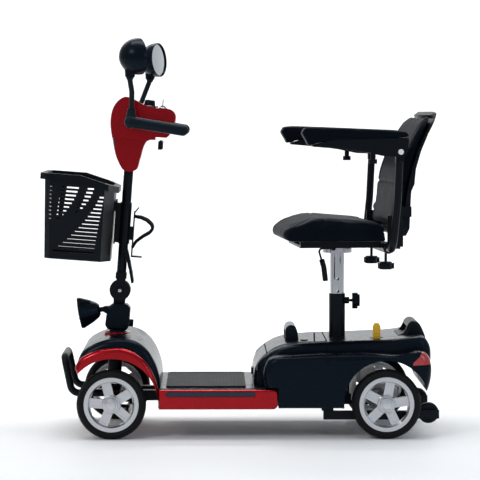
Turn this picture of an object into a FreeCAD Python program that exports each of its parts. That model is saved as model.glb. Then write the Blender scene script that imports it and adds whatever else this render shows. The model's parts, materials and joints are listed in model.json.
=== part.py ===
import FreeCAD, Part
import math
import os

import Sketcher
from FreeCAD import Placement, Rotation, Vector

# Four-wheel mobility scooter with a swivel seat, a tilting tiller and a lift-out battery box.
# Millimetres; X runs from front to rear, Y to the rider's right, Z up; the ground is Z = 0.

doc = FreeCAD.newDocument("MobilityScooter")
sheet = doc.addObject("Spreadsheet::Sheet", "Sizes")

DIMENSIONS = {
    "front_axle_x": -371.3,
    "wheelbase": 792.6,
    "wheel_radius": 100.0,
    "wheel_width": 50.0,
    "half_track": 223.5,
    "rim_radius": 79.0,
    "kingpin_y": 168.0,
    "steer_arm": 45.0,
    "body_half_width": 240.0,
    "deck_top": 144.0,
    "deck_front": 137.0,
    "deck_rear": 500.0,
    "skirt_bottom": 86.0,
    "skirt_thickness": 22.0,
    "rail_bottom": 92.0,
    "rail_size": 30.0,
    "rail_y": 55.0,
    "lean": 4.2,
    "fold_x": 17.8,
    "fold_height": 414.0,
    "tiller_radius": 14.0,
    "stem_radius": 14.0,
    "running_gap": 0.05,
    "seat_post_x": 661.9,
    "seat_yaw": 4.5,
    "post_radius": 21.0,
    "post_sleeve_radius": 24.0,
    "sleeve_top": 403.0,
    "swivel_height": 540.0,
    "cushion_half_width": 210.0,
    "back_half_width": 195.0,
    "arm_y": 270.0,
    "arm_pivot_x": 143.0,
    "arm_pivot_height": 827.0,
    "receiver_height": 547.0,
    "receiver_x": 124.0,
    "grip_y": 250.0,
    "tip_wheel_x": 918.0,
    "tip_wheel_height": 69.0,
    "tip_wheel_radius": 30.0,
    "tip_arm_y": 178.0,
    "basket_wall": 3.0,
    "slot_pitch": 11.7,
    "slot_height": 5.0,
    "bar_height": 500.0,
    "grip_slope": 5.0,
}


class Size:
    """A length or angle that carries both its value and the sheet formula that gives it."""

    def __init__(self, value, formula):
        self.value = float(value)
        self.formula = formula

    def joined(self, other, value, sign):
        return Size(value, f"({self.formula} {sign} {other.formula})")

    def __add__(self, other):
        other = sized(other)
        return self.joined(other, self.value + other.value, "+")

    __radd__ = __add__

    def __sub__(self, other):
        other = sized(other)
        return self.joined(other, self.value - other.value, "-")

    def __rsub__(self, other):
        return sized(other) - self

    def __mul__(self, other):
        other = sized(other)
        return self.joined(other, self.value * other.value, "*")

    __rmul__ = __mul__

    def __truediv__(self, other):
        other = sized(other)
        return self.joined(other, self.value / other.value, "/")

    def __neg__(self):
        return Size(-self.value, f"(0 - {self.formula})")


def sized(number):
    return number if isinstance(number, Size) else Size(number, f"({float(number):.6f})")


class Cells:
    """The sheet's cells by alias."""


C = Cells()
for row, (alias, value) in enumerate(DIMENSIONS.items(), start=1):
    sheet.set(f"A{row}", alias)
    sheet.set(f"B{row}", str(value))
    sheet.setAlias(f"B{row}", alias)
    setattr(C, alias, Size(value, f"Sizes.{alias}"))
doc.recompute()

NODES = {}


def bind(thing, name, size):
    thing.setExpression(name, sized(size).formula)


def node(label, thing):
    """Names a finished sub-part; the label is also its file's name."""
    thing.Label = label
    NODES[label] = thing
    return thing


def place(thing, x=0, y=0, z=0, axis=None, angle=0):
    """Puts a thing at a bound position, turned by an angle about an axis."""
    turn = Rotation(axis, sized(angle).value) if axis else Rotation()
    thing.Placement = Placement(Vector(sized(x).value, sized(y).value, sized(z).value), turn)
    for letter, size in (("x", x), ("y", y), ("z", z)):
        bind(thing, f"Placement.Base.{letter}", size)
    return thing


X_AXIS = Vector(1, 0, 0)
Y_AXIS = Vector(0, 1, 0)
Z_AXIS = Vector(0, 0, 1)


def in_axle_frame(thing):
    """Local origin on the ground below the front axle."""
    return place(thing, C.front_axle_x)


def in_tiller_frame(thing):
    """Local origin on the tiller's fold pivot, local Z up along the leaning tiller."""
    return place(thing, C.front_axle_x + C.fold_x, 0, C.fold_height, Y_AXIS, C.lean)


def in_kingpin_frame(thing, side):
    """Local origin on the kingpin at axle height, local Z along the leaning kingpin."""
    return place(thing, C.front_axle_x, side * C.kingpin_y, C.wheel_radius, Y_AXIS, C.lean)


def in_seat_frame(thing):
    """Local origin on the ground below the seat post, turned with the seat."""
    return place(thing, C.front_axle_x + C.seat_post_x, 0, 0, Z_AXIS, C.seat_yaw)


# ---- solids -------------------------------------------------------------------------------

count = [0]


def fresh(kind, stem):
    count[0] += 1
    return doc.addObject(kind, f"{stem}{count[0]}")


def box(x, y, z, length, width, height):
    """A box from its low corner."""
    thing = fresh("Part::Box", "Block")
    bind(thing, "Length", length)
    bind(thing, "Width", width)
    bind(thing, "Height", height)
    return place(thing, x, y, z)


AIM = {"x": (Y_AXIS, 90), "y": (X_AXIS, -90), "z": (Z_AXIS, 0)}


def rod(x, y, z, radius, length, along="z"):
    """A cylinder from the middle of its low end."""
    thing = fresh("Part::Cylinder", "Rod")
    bind(thing, "Radius", radius)
    bind(thing, "Height", length)
    return place(thing, x, y, z, *AIM[along])


def cone(x, y, z, radius1, radius2, length, along="z"):
    thing = fresh("Part::Cone", "Cone")
    bind(thing, "Radius1", radius1)
    bind(thing, "Radius2", radius2)
    bind(thing, "Height", length)
    return place(thing, x, y, z, *AIM[along])


def ball(x, y, z, radius):
    thing = fresh("Part::Sphere", "Ball")
    bind(thing, "Radius", radius)
    return place(thing, x, y, z)


def fuse(*things):
    whole = fresh("Part::MultiFuse", "Joined")
    whole.Shapes = list(things)
    return whole


def cut(base, *tools):
    whole = fresh("Part::Cut", "Cut")
    whole.Base = base
    whole.Tool = tools[0] if len(tools) == 1 else fuse(*tools)
    return whole


def common(base, tool):
    shape = fresh("Part::Common", "common")
    shape.Base = base
    shape.Tool = tool
    return shape


def rounded(base, radius, choose):
    """Fillets the edges that choose accepts."""
    doc.recompute()
    whole = fresh("Part::Fillet", "Rounded")
    whole.Base = base
    picked = [i for i, edge in enumerate(base.Shape.Edges, start=1) if choose(edge)]
    whole.Edges = [(i, sized(radius).value, sized(radius).value) for i in picked]
    return whole


def solid(shape, label):
    """A Part::Feature that holds a shape made with Part's own functions."""
    thing = doc.addObject("Part::Feature", label)
    thing.Shape = shape
    return thing


def tube(points, radius, bore=0, bend=30.0):
    """A round tube along straight runs that meet in tangent arcs."""
    path = [Vector(*[sized(number).value for number in point]) for point in points]
    edges = []
    start = path[0]
    for before, corner, after in zip(path, path[1:], path[2:]):
        back = (before - corner).normalize()
        ahead = (after - corner).normalize()
        half = back.getAngle(ahead) / 2
        reach = bend / math.tan(half)
        first = corner + back * reach
        last = corner + ahead * reach
        centre = corner + (back + ahead).normalize() * (bend / math.sin(half))
        middle = centre + (corner - centre).normalize() * bend
        edges.append(Part.LineSegment(start, first).toShape())
        edges.append(Part.Arc(first, middle, last).toShape())
        start = last
    edges.append(Part.LineSegment(start, path[-1]).toShape())
    spine = Part.Wire(edges)
    direction = path[1] - path[0]

    def swept(size):
        ring = Part.Wire([Part.makeCircle(sized(size).value, path[0], direction)])
        return spine.makePipeShell([ring], True, False)

    shape = swept(radius)
    if bore:
        shape = shape.cut(swept(bore))
    return solid(shape, f"Tube{len(doc.Objects)}")


# ---- part design --------------------------------------------------------------------------

def body(label):
    thing = doc.addObject("PartDesign::Body", label)
    return node(label, thing)


def origin_plane(of_body, role):
    return [feature for feature in of_body.Origin.OriginFeatures if feature.Role == role][0]


def sketch(of_body, role, offset=0):
    thing = of_body.newObject("Sketcher::SketchObject", f"{of_body.Name}_sketch")
    thing.AttachmentSupport = [(origin_plane(of_body, role), "")]
    thing.MapMode = "FlatFace"
    bind(thing, "AttachmentOffset.Base.z", offset)
    return thing


def dimension(of_sketch, kind, geometry, end, size):
    size = sized(size)
    index = of_sketch.addConstraint(
        Sketcher.Constraint(kind, -1, 1, geometry, end, size.value))
    of_sketch.setExpression(f"Constraints[{index}]", size.formula)


def polygon(of_sketch, points):
    """A closed outline whose every corner is bound to the sheet."""
    corners = [(sized(across), sized(up)) for across, up in points]
    first = of_sketch.GeometryCount
    total = len(corners)
    for index, (across, up) in enumerate(corners):
        after = corners[(index + 1) % total]
        of_sketch.addGeometry(Part.LineSegment(
            Vector(across.value, up.value, 0), Vector(after[0].value, after[1].value, 0)))
    for index in range(total):
        of_sketch.addConstraint(Sketcher.Constraint(
            "Coincident", first + index, 2, first + (index + 1) % total, 1))
    for index, (across, up) in enumerate(corners):
        dimension(of_sketch, "DistanceX", first + index, 1, across)
        dimension(of_sketch, "DistanceY", first + index, 1, up)


def circle(of_sketch, across, up, radius):
    across, up, radius = sized(across), sized(up), sized(radius)
    index = of_sketch.addGeometry(Part.Circle(
        Vector(across.value, up.value, 0), Vector(0, 0, 1), radius.value))
    dimension(of_sketch, "DistanceX", index, 3, across)
    dimension(of_sketch, "DistanceY", index, 3, up)
    bound = of_sketch.addConstraint(Sketcher.Constraint("Radius", index, radius.value))
    of_sketch.setExpression(f"Constraints[{bound}]", radius.formula)


def pad(of_body, of_sketch, length, symmetric=True, reverse=False):
    thing = of_body.newObject("PartDesign::Pad", f"{of_body.Name}_pad")
    thing.Profile = of_sketch
    bind(thing, "Length", length)
    thing.SideType = "Symmetric" if symmetric else "One side"
    thing.Reversed = reverse
    return thing


def pocket(of_body, of_sketch, depth, symmetric=True, reverse=False):
    """Cuts a pocket and makes sure that it takes material away."""
    doc.recompute()
    before = of_body.Shape.Volume
    thing = of_body.newObject("PartDesign::Pocket", f"{of_body.Name}_pocket")
    thing.Profile = of_sketch
    bind(thing, "Length", depth)
    thing.SideType = "Symmetric" if symmetric else "One side"
    thing.Reversed = reverse
    doc.recompute()
    if of_body.Shape.Volume > before - 1:
        raise RuntimeError(f"{of_body.Label}: a pocket cuts nothing")
    return thing


def revolve(of_body, of_sketch, axis="V_Axis"):
    thing = of_body.newObject("PartDesign::Revolution", f"{of_body.Name}_turned")
    thing.Profile = of_sketch
    thing.ReferenceAxis = (of_sketch, [axis])
    thing.Angle = 360
    return thing


def ring_pattern(of_body, of_sketch, feature, times):
    thing = of_body.newObject("PartDesign::PolarPattern", f"{of_body.Name}_pattern")
    thing.Originals = [feature]
    thing.Axis = (of_sketch, ["N_Axis"])
    thing.Angle = 360
    thing.Occurrences = times
    of_body.Tip = thing
    return thing


def row_pattern(of_body, of_sketch, feature, axis, length, times):
    thing = of_body.newObject("PartDesign::LinearPattern", f"{of_body.Name}_row")
    thing.Originals = [feature]
    thing.Direction = (of_sketch, [axis])
    bind(thing, "Length", length)
    thing.Occurrences = times
    of_body.Tip = thing
    return thing


def round_edges(of_body, radius, choose):
    """A fillet on the edges of the body's tip that choose accepts."""
    doc.recompute()
    base = of_body.Tip
    names = [f"Edge{i}" for i, edge in enumerate(base.Shape.Edges, start=1) if choose(edge)]
    thing = of_body.newObject("PartDesign::Fillet", f"{of_body.Name}_round")
    thing.Base = (base, names)
    bind(thing, "Radius", radius)
    doc.recompute()
    return thing


def along_y(edge):
    low, high = edge.Vertexes[0].Point, edge.Vertexes[-1].Point
    return abs(abs(high.y - low.y) - edge.Length) < 0.01 and edge.Length > 0.1


def along_x(edge):
    low, high = edge.Vertexes[0].Point, edge.Vertexes[-1].Point
    return abs(abs(high.x - low.x) - edge.Length) < 0.01 and edge.Length > 0.1


def along_z(edge):
    low, high = edge.Vertexes[0].Point, edge.Vertexes[-1].Point
    return abs(abs(high.z - low.z) - edge.Length) < 0.01 and edge.Length > 0.1


def flat_at_y(*places):
    """Accepts edges that lie in a plane of one y."""
    def choose(edge):
        box_of = edge.BoundBox
        return any(abs(box_of.YMin - y) < 0.01 and abs(box_of.YMax - y) < 0.01 for y in places)
    return choose


def side_plate(label, outline, half_width, corner=0, rim=0, corner_choice=None):
    """A body drawn as a side view (X, Z) and padded both ways across Y."""
    half_width = sized(half_width)
    thing = body(label)
    view = sketch(thing, "XZ_Plane")
    polygon(view, outline)
    pad(thing, view, 2 * half_width)
    if corner:
        chosen = corner_choice or (lambda edge: True)
        round_edges(thing, corner, lambda edge: along_y(edge) and chosen(edge))
    if rim:
        round_edges(thing, rim, flat_at_y(-half_width.value, half_width.value))
    return thing


# ---- wheels -------------------------------------------------------------------------------

def tyre(label, x, y):
    thing = body(label)
    radius = C.wheel_radius
    half = C.wheel_width / 2
    bead = C.rim_radius
    section = sketch(thing, "XY_Plane")
    polygon(section, [
        (bead, half * 0.8), (bead + 3, half * 0.94), (radius - 13, half), (radius - 5, half * 0.84),
        (radius - 1.2, half * 0.52), (radius, half * 0.44), (radius, half * 0.06),
        (radius - 2, 0), (radius, -half * 0.06), (radius, -half * 0.44),
        (radius - 1.2, -half * 0.52), (radius - 5, -half * 0.84),
        (radius - 13, -half), (bead + 3, -half * 0.94), (bead, -half * 0.8)])
    revolve(thing, section)
    place(thing, x, y, C.wheel_radius)


def rim(label, x, y, side, first_spoke):
    """A moulded rim with five spokes; side is the outward direction along Y."""
    thing = body(label)
    outer = C.rim_radius
    half = C.wheel_width * 0.4
    bore = 8.05
    section = sketch(thing, "XY_Plane")
    out = float(side)
    polygon(section, [
        (bore, out * 24), (16.5, out * 24), (18, out * 14), (25, out * 13), (27, out * 8),
        (outer - 16, out * 8), (outer - 12, out * half), (outer - 0.02, out * half),
        (outer - 0.02, -out * half), (outer - 7, -out * half), (outer - 10, -out * 6),
        (27, -out * 6), (25, -out * 16), (bore, -out * 16)])
    revolve(thing, section)
    doc.recompute()
    window = sketch(thing, "XZ_Plane")
    inner_edge, outer_edge, spoke_half = 27.5, 62.0, 13.5
    spread = math.radians(36)
    corners = []
    for radius, sign in ((inner_edge, -1), (outer_edge, -1), (outer_edge + 2.6, 0),
                         (outer_edge, 1), (inner_edge, 1)):
        angle = sign * (spread - math.asin(min(0.99, spoke_half / radius)))
        turn = angle + math.radians(first_spoke + 36)
        corners.append((radius * math.cos(turn), radius * math.sin(turn)))
    polygon(window, corners)
    opening = pocket(thing, window, C.wheel_width)
    ring_pattern(thing, window, opening, 5)
    doc.recompute()
    channel = sketch(thing, "XZ_Plane", -side * 8.0)
    turn = math.radians(first_spoke)
    ahead, across = Vector(math.cos(turn), math.sin(turn), 0), Vector(-math.sin(turn), math.cos(turn), 0)
    channel_half = 7.5
    corners = []
    for reach, sign in ((30, -1), (58, -1), (58, 1), (30, 1)):
        point = ahead * reach + across * (sign * channel_half)
        corners.append((point.x, point.y))
    polygon(channel, corners)
    groove = pocket(thing, channel, 4.0)
    ring_pattern(thing, channel, groove, 5)
    place(thing, x, y, C.wheel_radius)


def wheels():
    rear_axle = C.front_axle_x + C.wheelbase
    for side, name in ((-1, "left"), (1, "right")):
        tyre(f"front_tyre_{name}", C.front_axle_x, side * C.half_track)
        rim(f"front_rim_{name}", C.front_axle_x, side * C.half_track, side, 104)
        tyre(f"rear_tyre_{name}", rear_axle, side * C.half_track)
        rim(f"rear_rim_{name}", rear_axle, side * C.half_track, side, 80)


def tip_wheel(label, side):
    thing = body(label)
    radius = C.tip_wheel_radius
    section = sketch(thing, "XY_Plane")
    polygon(section, [(4.05, 10), (9, 10), (9.5, 7), (18, 7), (19, 11.5), (radius - 3, 11.5),
                      (radius, 8), (radius, -8), (radius - 3, -11.5), (19, -11.5), (18, -7),
                      (9.5, -7), (9, -10), (4.05, -10)])
    revolve(thing, section)
    place(thing, C.front_axle_x + C.tip_wheel_x, side * C.tip_arm_y, C.tip_wheel_height)


# ---- chassis ------------------------------------------------------------------------------

def main_frame():
    """Welded frame: twin rails, cross members, front beam, leaning head tube and seat sleeve."""
    size = C.rail_size
    bottom = C.rail_bottom
    front, rear = 24, 699.7
    pieces = [box(front, side * C.rail_y - size / 2, bottom, rear - front, size, size)
              for side in (-1, 1)]
    for station in (180, 430, 640):
        pieces.append(box(station, -C.rail_y, bottom + 4, size, 2 * C.rail_y, size - 8))
    pieces.append(box(608, -C.tip_arm_y - 12, 76, 34, 2 * C.tip_arm_y + 24, 18))
    beam = box(-14, -C.kingpin_y, 88, 38, 2 * C.kingpin_y, 24)
    pieces.append(box(C.seat_post_x - 34, -70, bottom + size, 58, 140, 6))
    sleeve = rod(C.seat_post_x, 0, bottom + size, C.post_sleeve_radius, C.sleeve_top - bottom - size)
    boss = rod(C.seat_post_x + 18, 0, C.sleeve_top - 21, 10, 18, "x")
    hole = rod(C.seat_post_x + 15, 0, C.sleeve_top - 21, 4.3, 30, "x")
    sleeve_bore = rod(C.seat_post_x, 0, bottom + size + 6, C.post_radius + C.running_gap,
                      C.sleeve_top)
    sleeve_pin = rod(C.seat_post_x, -C.post_sleeve_radius - 1.6, 372, 4, 4, "y")
    lean = C.lean
    slope = math.tan(math.radians(DIMENSIONS["lean"]))
    foot = C.fold_x - (C.fold_height - 82) * slope
    head = place(rod(0, 0, 0, C.stem_radius + 7, 186), foot, 0, 82, Y_AXIS, lean)
    head_bore = place(rod(0, 0, 0, C.stem_radius + C.running_gap, 400),
                      foot - 60 * slope, 0, 22, Y_AXIS, lean)
    whole = fuse(*pieces, sleeve, boss, head, beam)
    cutters = [sleeve_bore, hole, head_bore]
    barrels = []
    for side in (-1, 1):
        barrels.append(place(rod(0, 0, 0, 14, 46), -23 * slope, side * C.kingpin_y, 77, Y_AXIS, lean))
        cutters.append(place(rod(0, 0, 0, 8 + C.running_gap, 90), -45 * slope,
                             side * C.kingpin_y, 55, Y_AXIS, lean))
    shape = cut(fuse(whole, *barrels), *cutters)
    node("main_frame", in_axle_frame(fuse(shape, sleeve_pin)))


def floor_pan():
    half = C.body_half_width - C.skirt_thickness - 0.3
    thing = body("floor_pan")
    plan = sketch(thing, "XY_Plane", C.deck_top - 20)
    polygon(plan, [(C.deck_front, -half), (C.deck_rear - 20, -half), (C.deck_rear - 20, -150),
                   (C.deck_rear + 100, -150), (C.deck_rear + 100, 150), (C.deck_rear - 20, 150),
                   (C.deck_rear - 20, half), (C.deck_front, half)])
    pad(thing, plan, 20, symmetric=False)
    round_edges(thing, 3, lambda edge: abs(edge.BoundBox.ZMin - DIMENSIONS["deck_top"]) < 0.01)
    in_axle_frame(thing)


def floor_mat():
    """Rubber mat with a row of cross grooves."""
    thing = body("floor_mat")
    half_width = 188.0
    front, rear = 157.0, 388.0
    grooves = 20
    thick, deep = 4.5, 2.0
    plan = sketch(thing, "XY_Plane", C.deck_top)
    polygon(plan, [(front, -half_width), (rear, -half_width), (rear, half_width), (front, half_width)])
    pad(thing, plan, thick, symmetric=False)
    round_edges(thing, 12, along_z)
    groove_plan = sketch(thing, "XY_Plane", C.deck_top + thick)
    polygon(groove_plan, [(front + 8, -half_width + 10), (front + 13, -half_width + 10),
                          (front + 13, half_width - 10), (front + 8, half_width - 10)])
    groove = pocket(thing, groove_plan, deep, symmetric=False)
    row_pattern(thing, groove_plan, groove, "H_Axis", rear - front - 22, grooves)
    in_axle_frame(thing)


def side_skirts():
    """Left and right sill mouldings, each with a long recessed groove."""
    outer = C.body_half_width
    thick = C.skirt_thickness
    bottom = C.skirt_bottom
    top = C.deck_top - 2
    front, rear = 136.5, 479.0
    halves = []
    for side in (-1, 1):
        low_y = side * outer - (0 if side < 0 else thick)
        sill = box(front, low_y, bottom, rear - front, thick, top - bottom)
        outer_y = side * DIMENSIONS["body_half_width"]
        corners = rounded(sill, 14, lambda edge: along_y(edge) and edge.BoundBox.XMin > 400)
        sides = rounded(corners, 5, flat_at_y(outer_y))
        groove = box(157, side * (outer - 4) - (4.5 if side < 0 else -0.5) - (0 if side < 0 else 1),
                     bottom + 36, 258, 5.5, 15)
        soft = rounded(groove, 6, along_y)
        halves.append(cut(sides, soft))
    node("side_skirts", in_axle_frame(fuse(*halves)))


def spline_outline(points, y):
    """A smooth closed outline through side-view points at one y."""
    curve = Part.BSplineCurve()
    curve.interpolate([Vector(x, y, z) for x, z in points], PeriodicFlag=True)
    return Part.Wire([curve.toShape()])


def smooth_view(crown, base, y):
    """Closed side view at one y: a smooth curve through crown, closed by straight runs."""
    curve = Part.BSplineCurve()
    curve.interpolate([Vector(x, y, z) for x, z in crown])
    corners = [crown[-1]] + list(base) + [crown[0]]
    edges = [curve.toShape()]
    for one, two in zip(corners, corners[1:]):
        edges.append(Part.makeLine(Vector(one[0], y, one[1]), Vector(two[0], y, two[1])))
    return Part.Wire(edges)


def smooth_prism(crown, base, low_y, high_y):
    """A smooth side view extruded across Y."""
    return Part.Face(smooth_view(crown, base, low_y)).extrude(Vector(0, high_y - low_y, 0))


def drawn_in(points, centre, distance):
    """Moves outline points towards a centre by one distance."""
    moved = []
    for x, z in points:
        length = math.hypot(x - centre[0], z - centre[1])
        share = 1 - distance / length
        moved.append((centre[0] + (x - centre[0]) * share, centre[1] + (z - centre[1]) * share))
    return moved


def crowned_block(crown, base, half_width, edge_radius, centre):
    """A block with a smooth side view whose long borders curve in towards its sides."""
    flat = half_width - edge_radius
    block = smooth_prism(crown, base, -flat, flat)
    for side in (-1, 1):
        rings = []
        for step in range(5):
            angle = math.radians(80 * step / 4)
            y = side * (flat + edge_radius * math.sin(angle) / math.sin(math.radians(80)))
            distance = edge_radius * (1 - math.cos(angle))
            rings.append(smooth_view(drawn_in(crown, centre, distance) if step else crown,
                                     drawn_in(base, centre, distance) if step else base, y))
        block = block.fuse(Part.makeLoft(rings, True, False))
    return block


def crown_edges(low_y, high_y):
    """Accepts the curved border edges of a smooth prism."""
    flat = flat_at_y(low_y, high_y)
    return lambda edge: flat(edge) and edge.Curve.TypeId == "Part::GeomBSplineCurve"


def arch_block(centre_x, radius, low_y, high_y, centre_z):
    """The round-topped space a wheel turns in."""
    tall = Part.makeCylinder(radius, high_y - low_y, Vector(centre_x, low_y, centre_z), Y_AXIS)
    return tall.fuse(Part.makeBox(2 * radius, high_y - low_y, centre_z + 50,
                                  Vector(centre_x - radius, low_y, -50)))


def prism(points, low_y, high_y):
    """A side view extruded across Y, with straight edges."""
    corners = [Vector(x, low_y, z) for x, z in points]
    face = Part.Face(Part.makePolygon(corners + corners[:1]))
    return face.extrude(Vector(0, high_y - low_y, 0))


def fillet_some(shape, radius, choose):
    """Fillets the accepted edges, and leaves out any edge that cannot take the radius."""
    edges = [edge for edge in shape.Edges if choose(edge)]
    try:
        done = shape.makeFillet(radius, edges)
        if done.isValid() and not done.isNull() and done.Volume > 0:
            return done
    except Exception:
        pass
    for edge in edges:
        middle = edge.CenterOfMass
        match = [e for e in shape.Edges if (e.CenterOfMass - middle).Length < 0.01]
        if not match:
            continue
        try:
            done = shape.makeFillet(radius, match[:1])
            if done.isValid() and done.Volume > 0:
                shape = done
        except Exception:
            continue
    return shape


FENDER_CROWN = [(-104, 205), (-88, 233), (-59, 250), (-31, 259), (1, 263), (33, 262), (60, 253),
                (85, 237), (106, 214), (121, 188), (131, 160), (136, 132)]
HOOD_CROWN = [(-99, 214), (-93, 235), (-82, 252), (-62, 266), (-38, 277), (-10, 285), (20, 287.5),
              (49, 286), (70, 280), (92, 266), (112, 243), (125, 219), (134, 195), (139, 172),
              (140.5, 144.5)]
HOOD_SEAT = [(-94, 214), (-86, 228), (-59, 245), (-31, 254), (1, 258), (33, 257), (60, 248),
             (84, 232), (104, 211), (119, 186), (129, 160), (133, 144.5)]
HOOD_HALF_WIDTH = 214.0


def neck_collar(gap):
    return Part.makeCone(44 + gap, 38 + gap, 42, Vector(8, 0, 247), Z_AXIS)


def front_shroud():
    """Red fender moulding over both front wheels, with a raised neck around the steering stem."""
    width = DIMENSIONS["body_half_width"]
    outer = crowned_block(FENDER_CROWN, [(136, 89), (127, 89), (118, 120), (60, 180), (-60, 180),
                                         (-98, 188)], width, 14, (20, 130))
    wells = arch_block(0, 128, -width - 5, -122, 104).fuse(arch_block(0, 128, 122, width + 5, 104))
    tunnel = prism([(-130, 0), (-84, 196), (-56, 224), (60, 226), (90, 198), (126, 120), (126, 0)],
                   -124, 124)
    rail_gap = Part.makeBox(40, 150, 44, Vector(100, -75, 80))
    side_arch = Part.makeCylinder(131, 2 * width + 20, Vector(4, -width - 10, 101), Y_AXIS)
    shape = outer.cut(wells).cut(tunnel).cut(rail_gap).cut(side_arch)
    top = smooth_prism(HOOD_SEAT, [(180, 144.5), (180, 400), (-150, 400), (-150, 214)],
                       -HOOD_HALF_WIDTH - 0.3, HOOD_HALF_WIDTH + 0.3)
    stem = Part.makeCylinder(33, 400, Vector(6, 0, 0), Z_AXIS)
    shape = shape.cut(top).fuse(neck_collar(0)).cut(stem)
    node("front_shroud", in_axle_frame(solid(shape, "front_shroud_shape")))


def front_panel():
    """Dark glossy hood that closes the top of the shroud down to the deck."""
    half = HOOD_HALF_WIDTH
    under = smooth_prism(HOOD_SEAT, [(133, 60), (-94, 60)], -half - 5, half + 5)
    block = crowned_block(HOOD_CROWN, [(140.5, 110), (-99, 110)], half, 22, (20, 140))
    foot = Part.makeBox(300, 2 * half + 20, 144.5 - 80, Vector(-120, -half - 10, 80))
    tip = Part.makeBox(40, 2 * half + 20, 134, Vector(-134, -half - 10, 80))
    shape = block.cut(under).cut(foot).cut(tip)
    shape = shape.cut(neck_collar(0.4))
    node("front_panel", in_axle_frame(solid(shape, "front_panel_shape")))


def front_bumper():
    """U-shaped guard tube ahead of the front wheels."""
    half = 105
    bar = tube([(-20, -half, 119), (-120, -half, 119), (-142, -half, 225), (-142, half, 225),
                (-120, half, 119), (-20, half, 119)], 10.5, bend=26)
    legs = [box(-34, side * half - 10, 112.1, 20, 20, 14) for side in (-1, 1)]
    cross = box(-34, -half, 112.1, 20, 2 * half, 12)
    gap = rod(-6, 0, 60, 27, 200)
    node("front_bumper", in_axle_frame(cut(fuse(bar, cross, *legs), gap)))


def rear_body_shape():
    """Outer skin of the rear body: wide shoulders with a narrower hump on top."""
    width = DIMENSIONS["body_half_width"]
    shoulders = crowned_block(
        [(446, 140), (439, 172), (441, 205), (455, 230), (500, 240), (580, 244), (672, 246),
         (760, 246), (850, 247), (888, 254), (910, 243), (922, 214), (922, 180), (914, 145),
         (896, 108)],
        [(884, 86), (470, 86)], width, 26, (680, 150))
    hump = crowned_block(
        [(420, 200), (423, 213), (437, 229), (460, 246), (504, 264), (560, 271), (660, 275),
         (760, 279), (840, 284), (880, 290), (904, 288), (921, 268), (927, 236), (925, 200)],
        [(925, 190), (420, 190)], 178, 26, (680, 200))
    return shoulders.fuse(hump)


def rear_handle_block(half_width):
    """Thick grab handle that rises from the back of the hump."""
    return smooth_prism(
        [(838, 286), (853, 292), (862, 306), (869, 320), (882, 327), (896, 323), (908, 306),
         (917, 284), (922, 262)],
        [(922, 255), (838, 255)], -half_width, half_width)


def rear_cover():
    """Rear body shell, open below, with wheel arches, a battery bay and a hole for the seat post."""
    width = DIMENSIONS["body_half_width"]
    axle = DIMENSIONS["wheelbase"]
    shape = rear_body_shape()
    inside = prism([(500, 60), (500, 150), (630, 150), (640, 262), (820, 272), (880, 268),
                    (908, 180), (904, 60)], -168, 168)
    bay = Part.makeBox(230, 2 * 152, 400, Vector(396, -152, 80))
    arches = arch_block(axle, 122, -width - 5, width + 5, 104)
    deck = Part.makeBox(161, 2 * width + 10, 68, Vector(320, -width - 5, 80))
    sleeve = Part.makeCylinder(DIMENSIONS["post_sleeve_radius"] + 2, 400,
                               Vector(DIMENSIONS["seat_post_x"], 0, 100), Z_AXIS)
    slot = Part.makeBox(36, 30, 60, Vector(755, -115, 250))
    floor = Part.makeBox(150, 310, 28, Vector(470, -155, 120))
    axle_hole = Part.makeCylinder(22, 400, Vector(axle, -200, DIMENSIONS["wheel_radius"]), Y_AXIS)
    shape = shape.cut(inside).cut(bay).cut(arches).cut(deck).cut(sleeve).cut(slot)
    shape = shape.cut(floor).cut(axle_hole)
    for low in (-234, 166):
        shape = shape.cut(prism([(482, 60), (470, 160), (476, 205), (560, 222), (664, 226),
                                 (664, 60)], low, low + 68))
    for low in (-122, -84):
        shape = shape.fuse(Part.makeBox(16, 6, 22, Vector(765, low, 255)))
    shape = shape.fuse(Part.makeCylinder(3, 34, Vector(773, -117, 262), Y_AXIS))
    for side in (-1, 1):
        shape = shape.cut(reflector_wedge(side))
    node("rear_cover", in_axle_frame(solid(shape, "rear_cover_shape")))


def battery_case():
    """Lift-out battery box that forms the front of the rear body, with a carry handle."""
    half = 150.0
    case = smooth_prism([(412, 176), (414, 190), (422, 211), (436, 228), (456, 245), (474, 256),
                         (504, 266), (560, 272), (622, 274.6)],
                        [(622, 144.4), (412, 144.4)], -half, half)
    case = fillet_some(case, 16, crown_edges(-half, half))
    hollow = Part.makeBox(162, 2 * half - 12, 92, Vector(448, -half + 6, 149))
    low = Part.makeBox(40, 2 * half - 12, 34, Vector(425, -half + 6, 149))
    case = case.cut(hollow).cut(low)
    handle = smooth_prism([(504, 262), (505, 290), (510, 308), (520, 314), (532, 312), (541, 298),
                           (546, 262)], [], -70, 70)
    handle = fillet_some(handle, 8, crown_edges(-70, 70))
    handle = handle.cut(fillet_some(Part.makeBox(70, 104, 28, Vector(490, -52, 269)), 6, along_x))
    knob = Part.makeCylinder(11, 9, Vector(560, -96, 266), Z_AXIS)
    tab = Part.makeBox(4, 14, 26, Vector(588, -102, 268))
    tab = tab.cut(Part.makeCylinder(4, 20, Vector(580, -95, 288), X_AXIS))
    latch = Part.makeBox(8, 44, 20, Vector(406, -22, 164))
    whole = case.fuse([handle, knob, tab, latch])
    node("battery_case", in_axle_frame(solid(whole, "battery_case_shape")))


def battery_cells():
    """Two sealed batteries that stand side by side in the box."""
    pair = [box(452, y, 149.3, 150, 128, 76) for y in (-132, 4)]
    caps = [rod(x, y, 225, 7, 8) for x in (470, 582) for y in (-100, 36)]
    node("battery_cells", in_axle_frame(fuse(*pair, *caps)))


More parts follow.
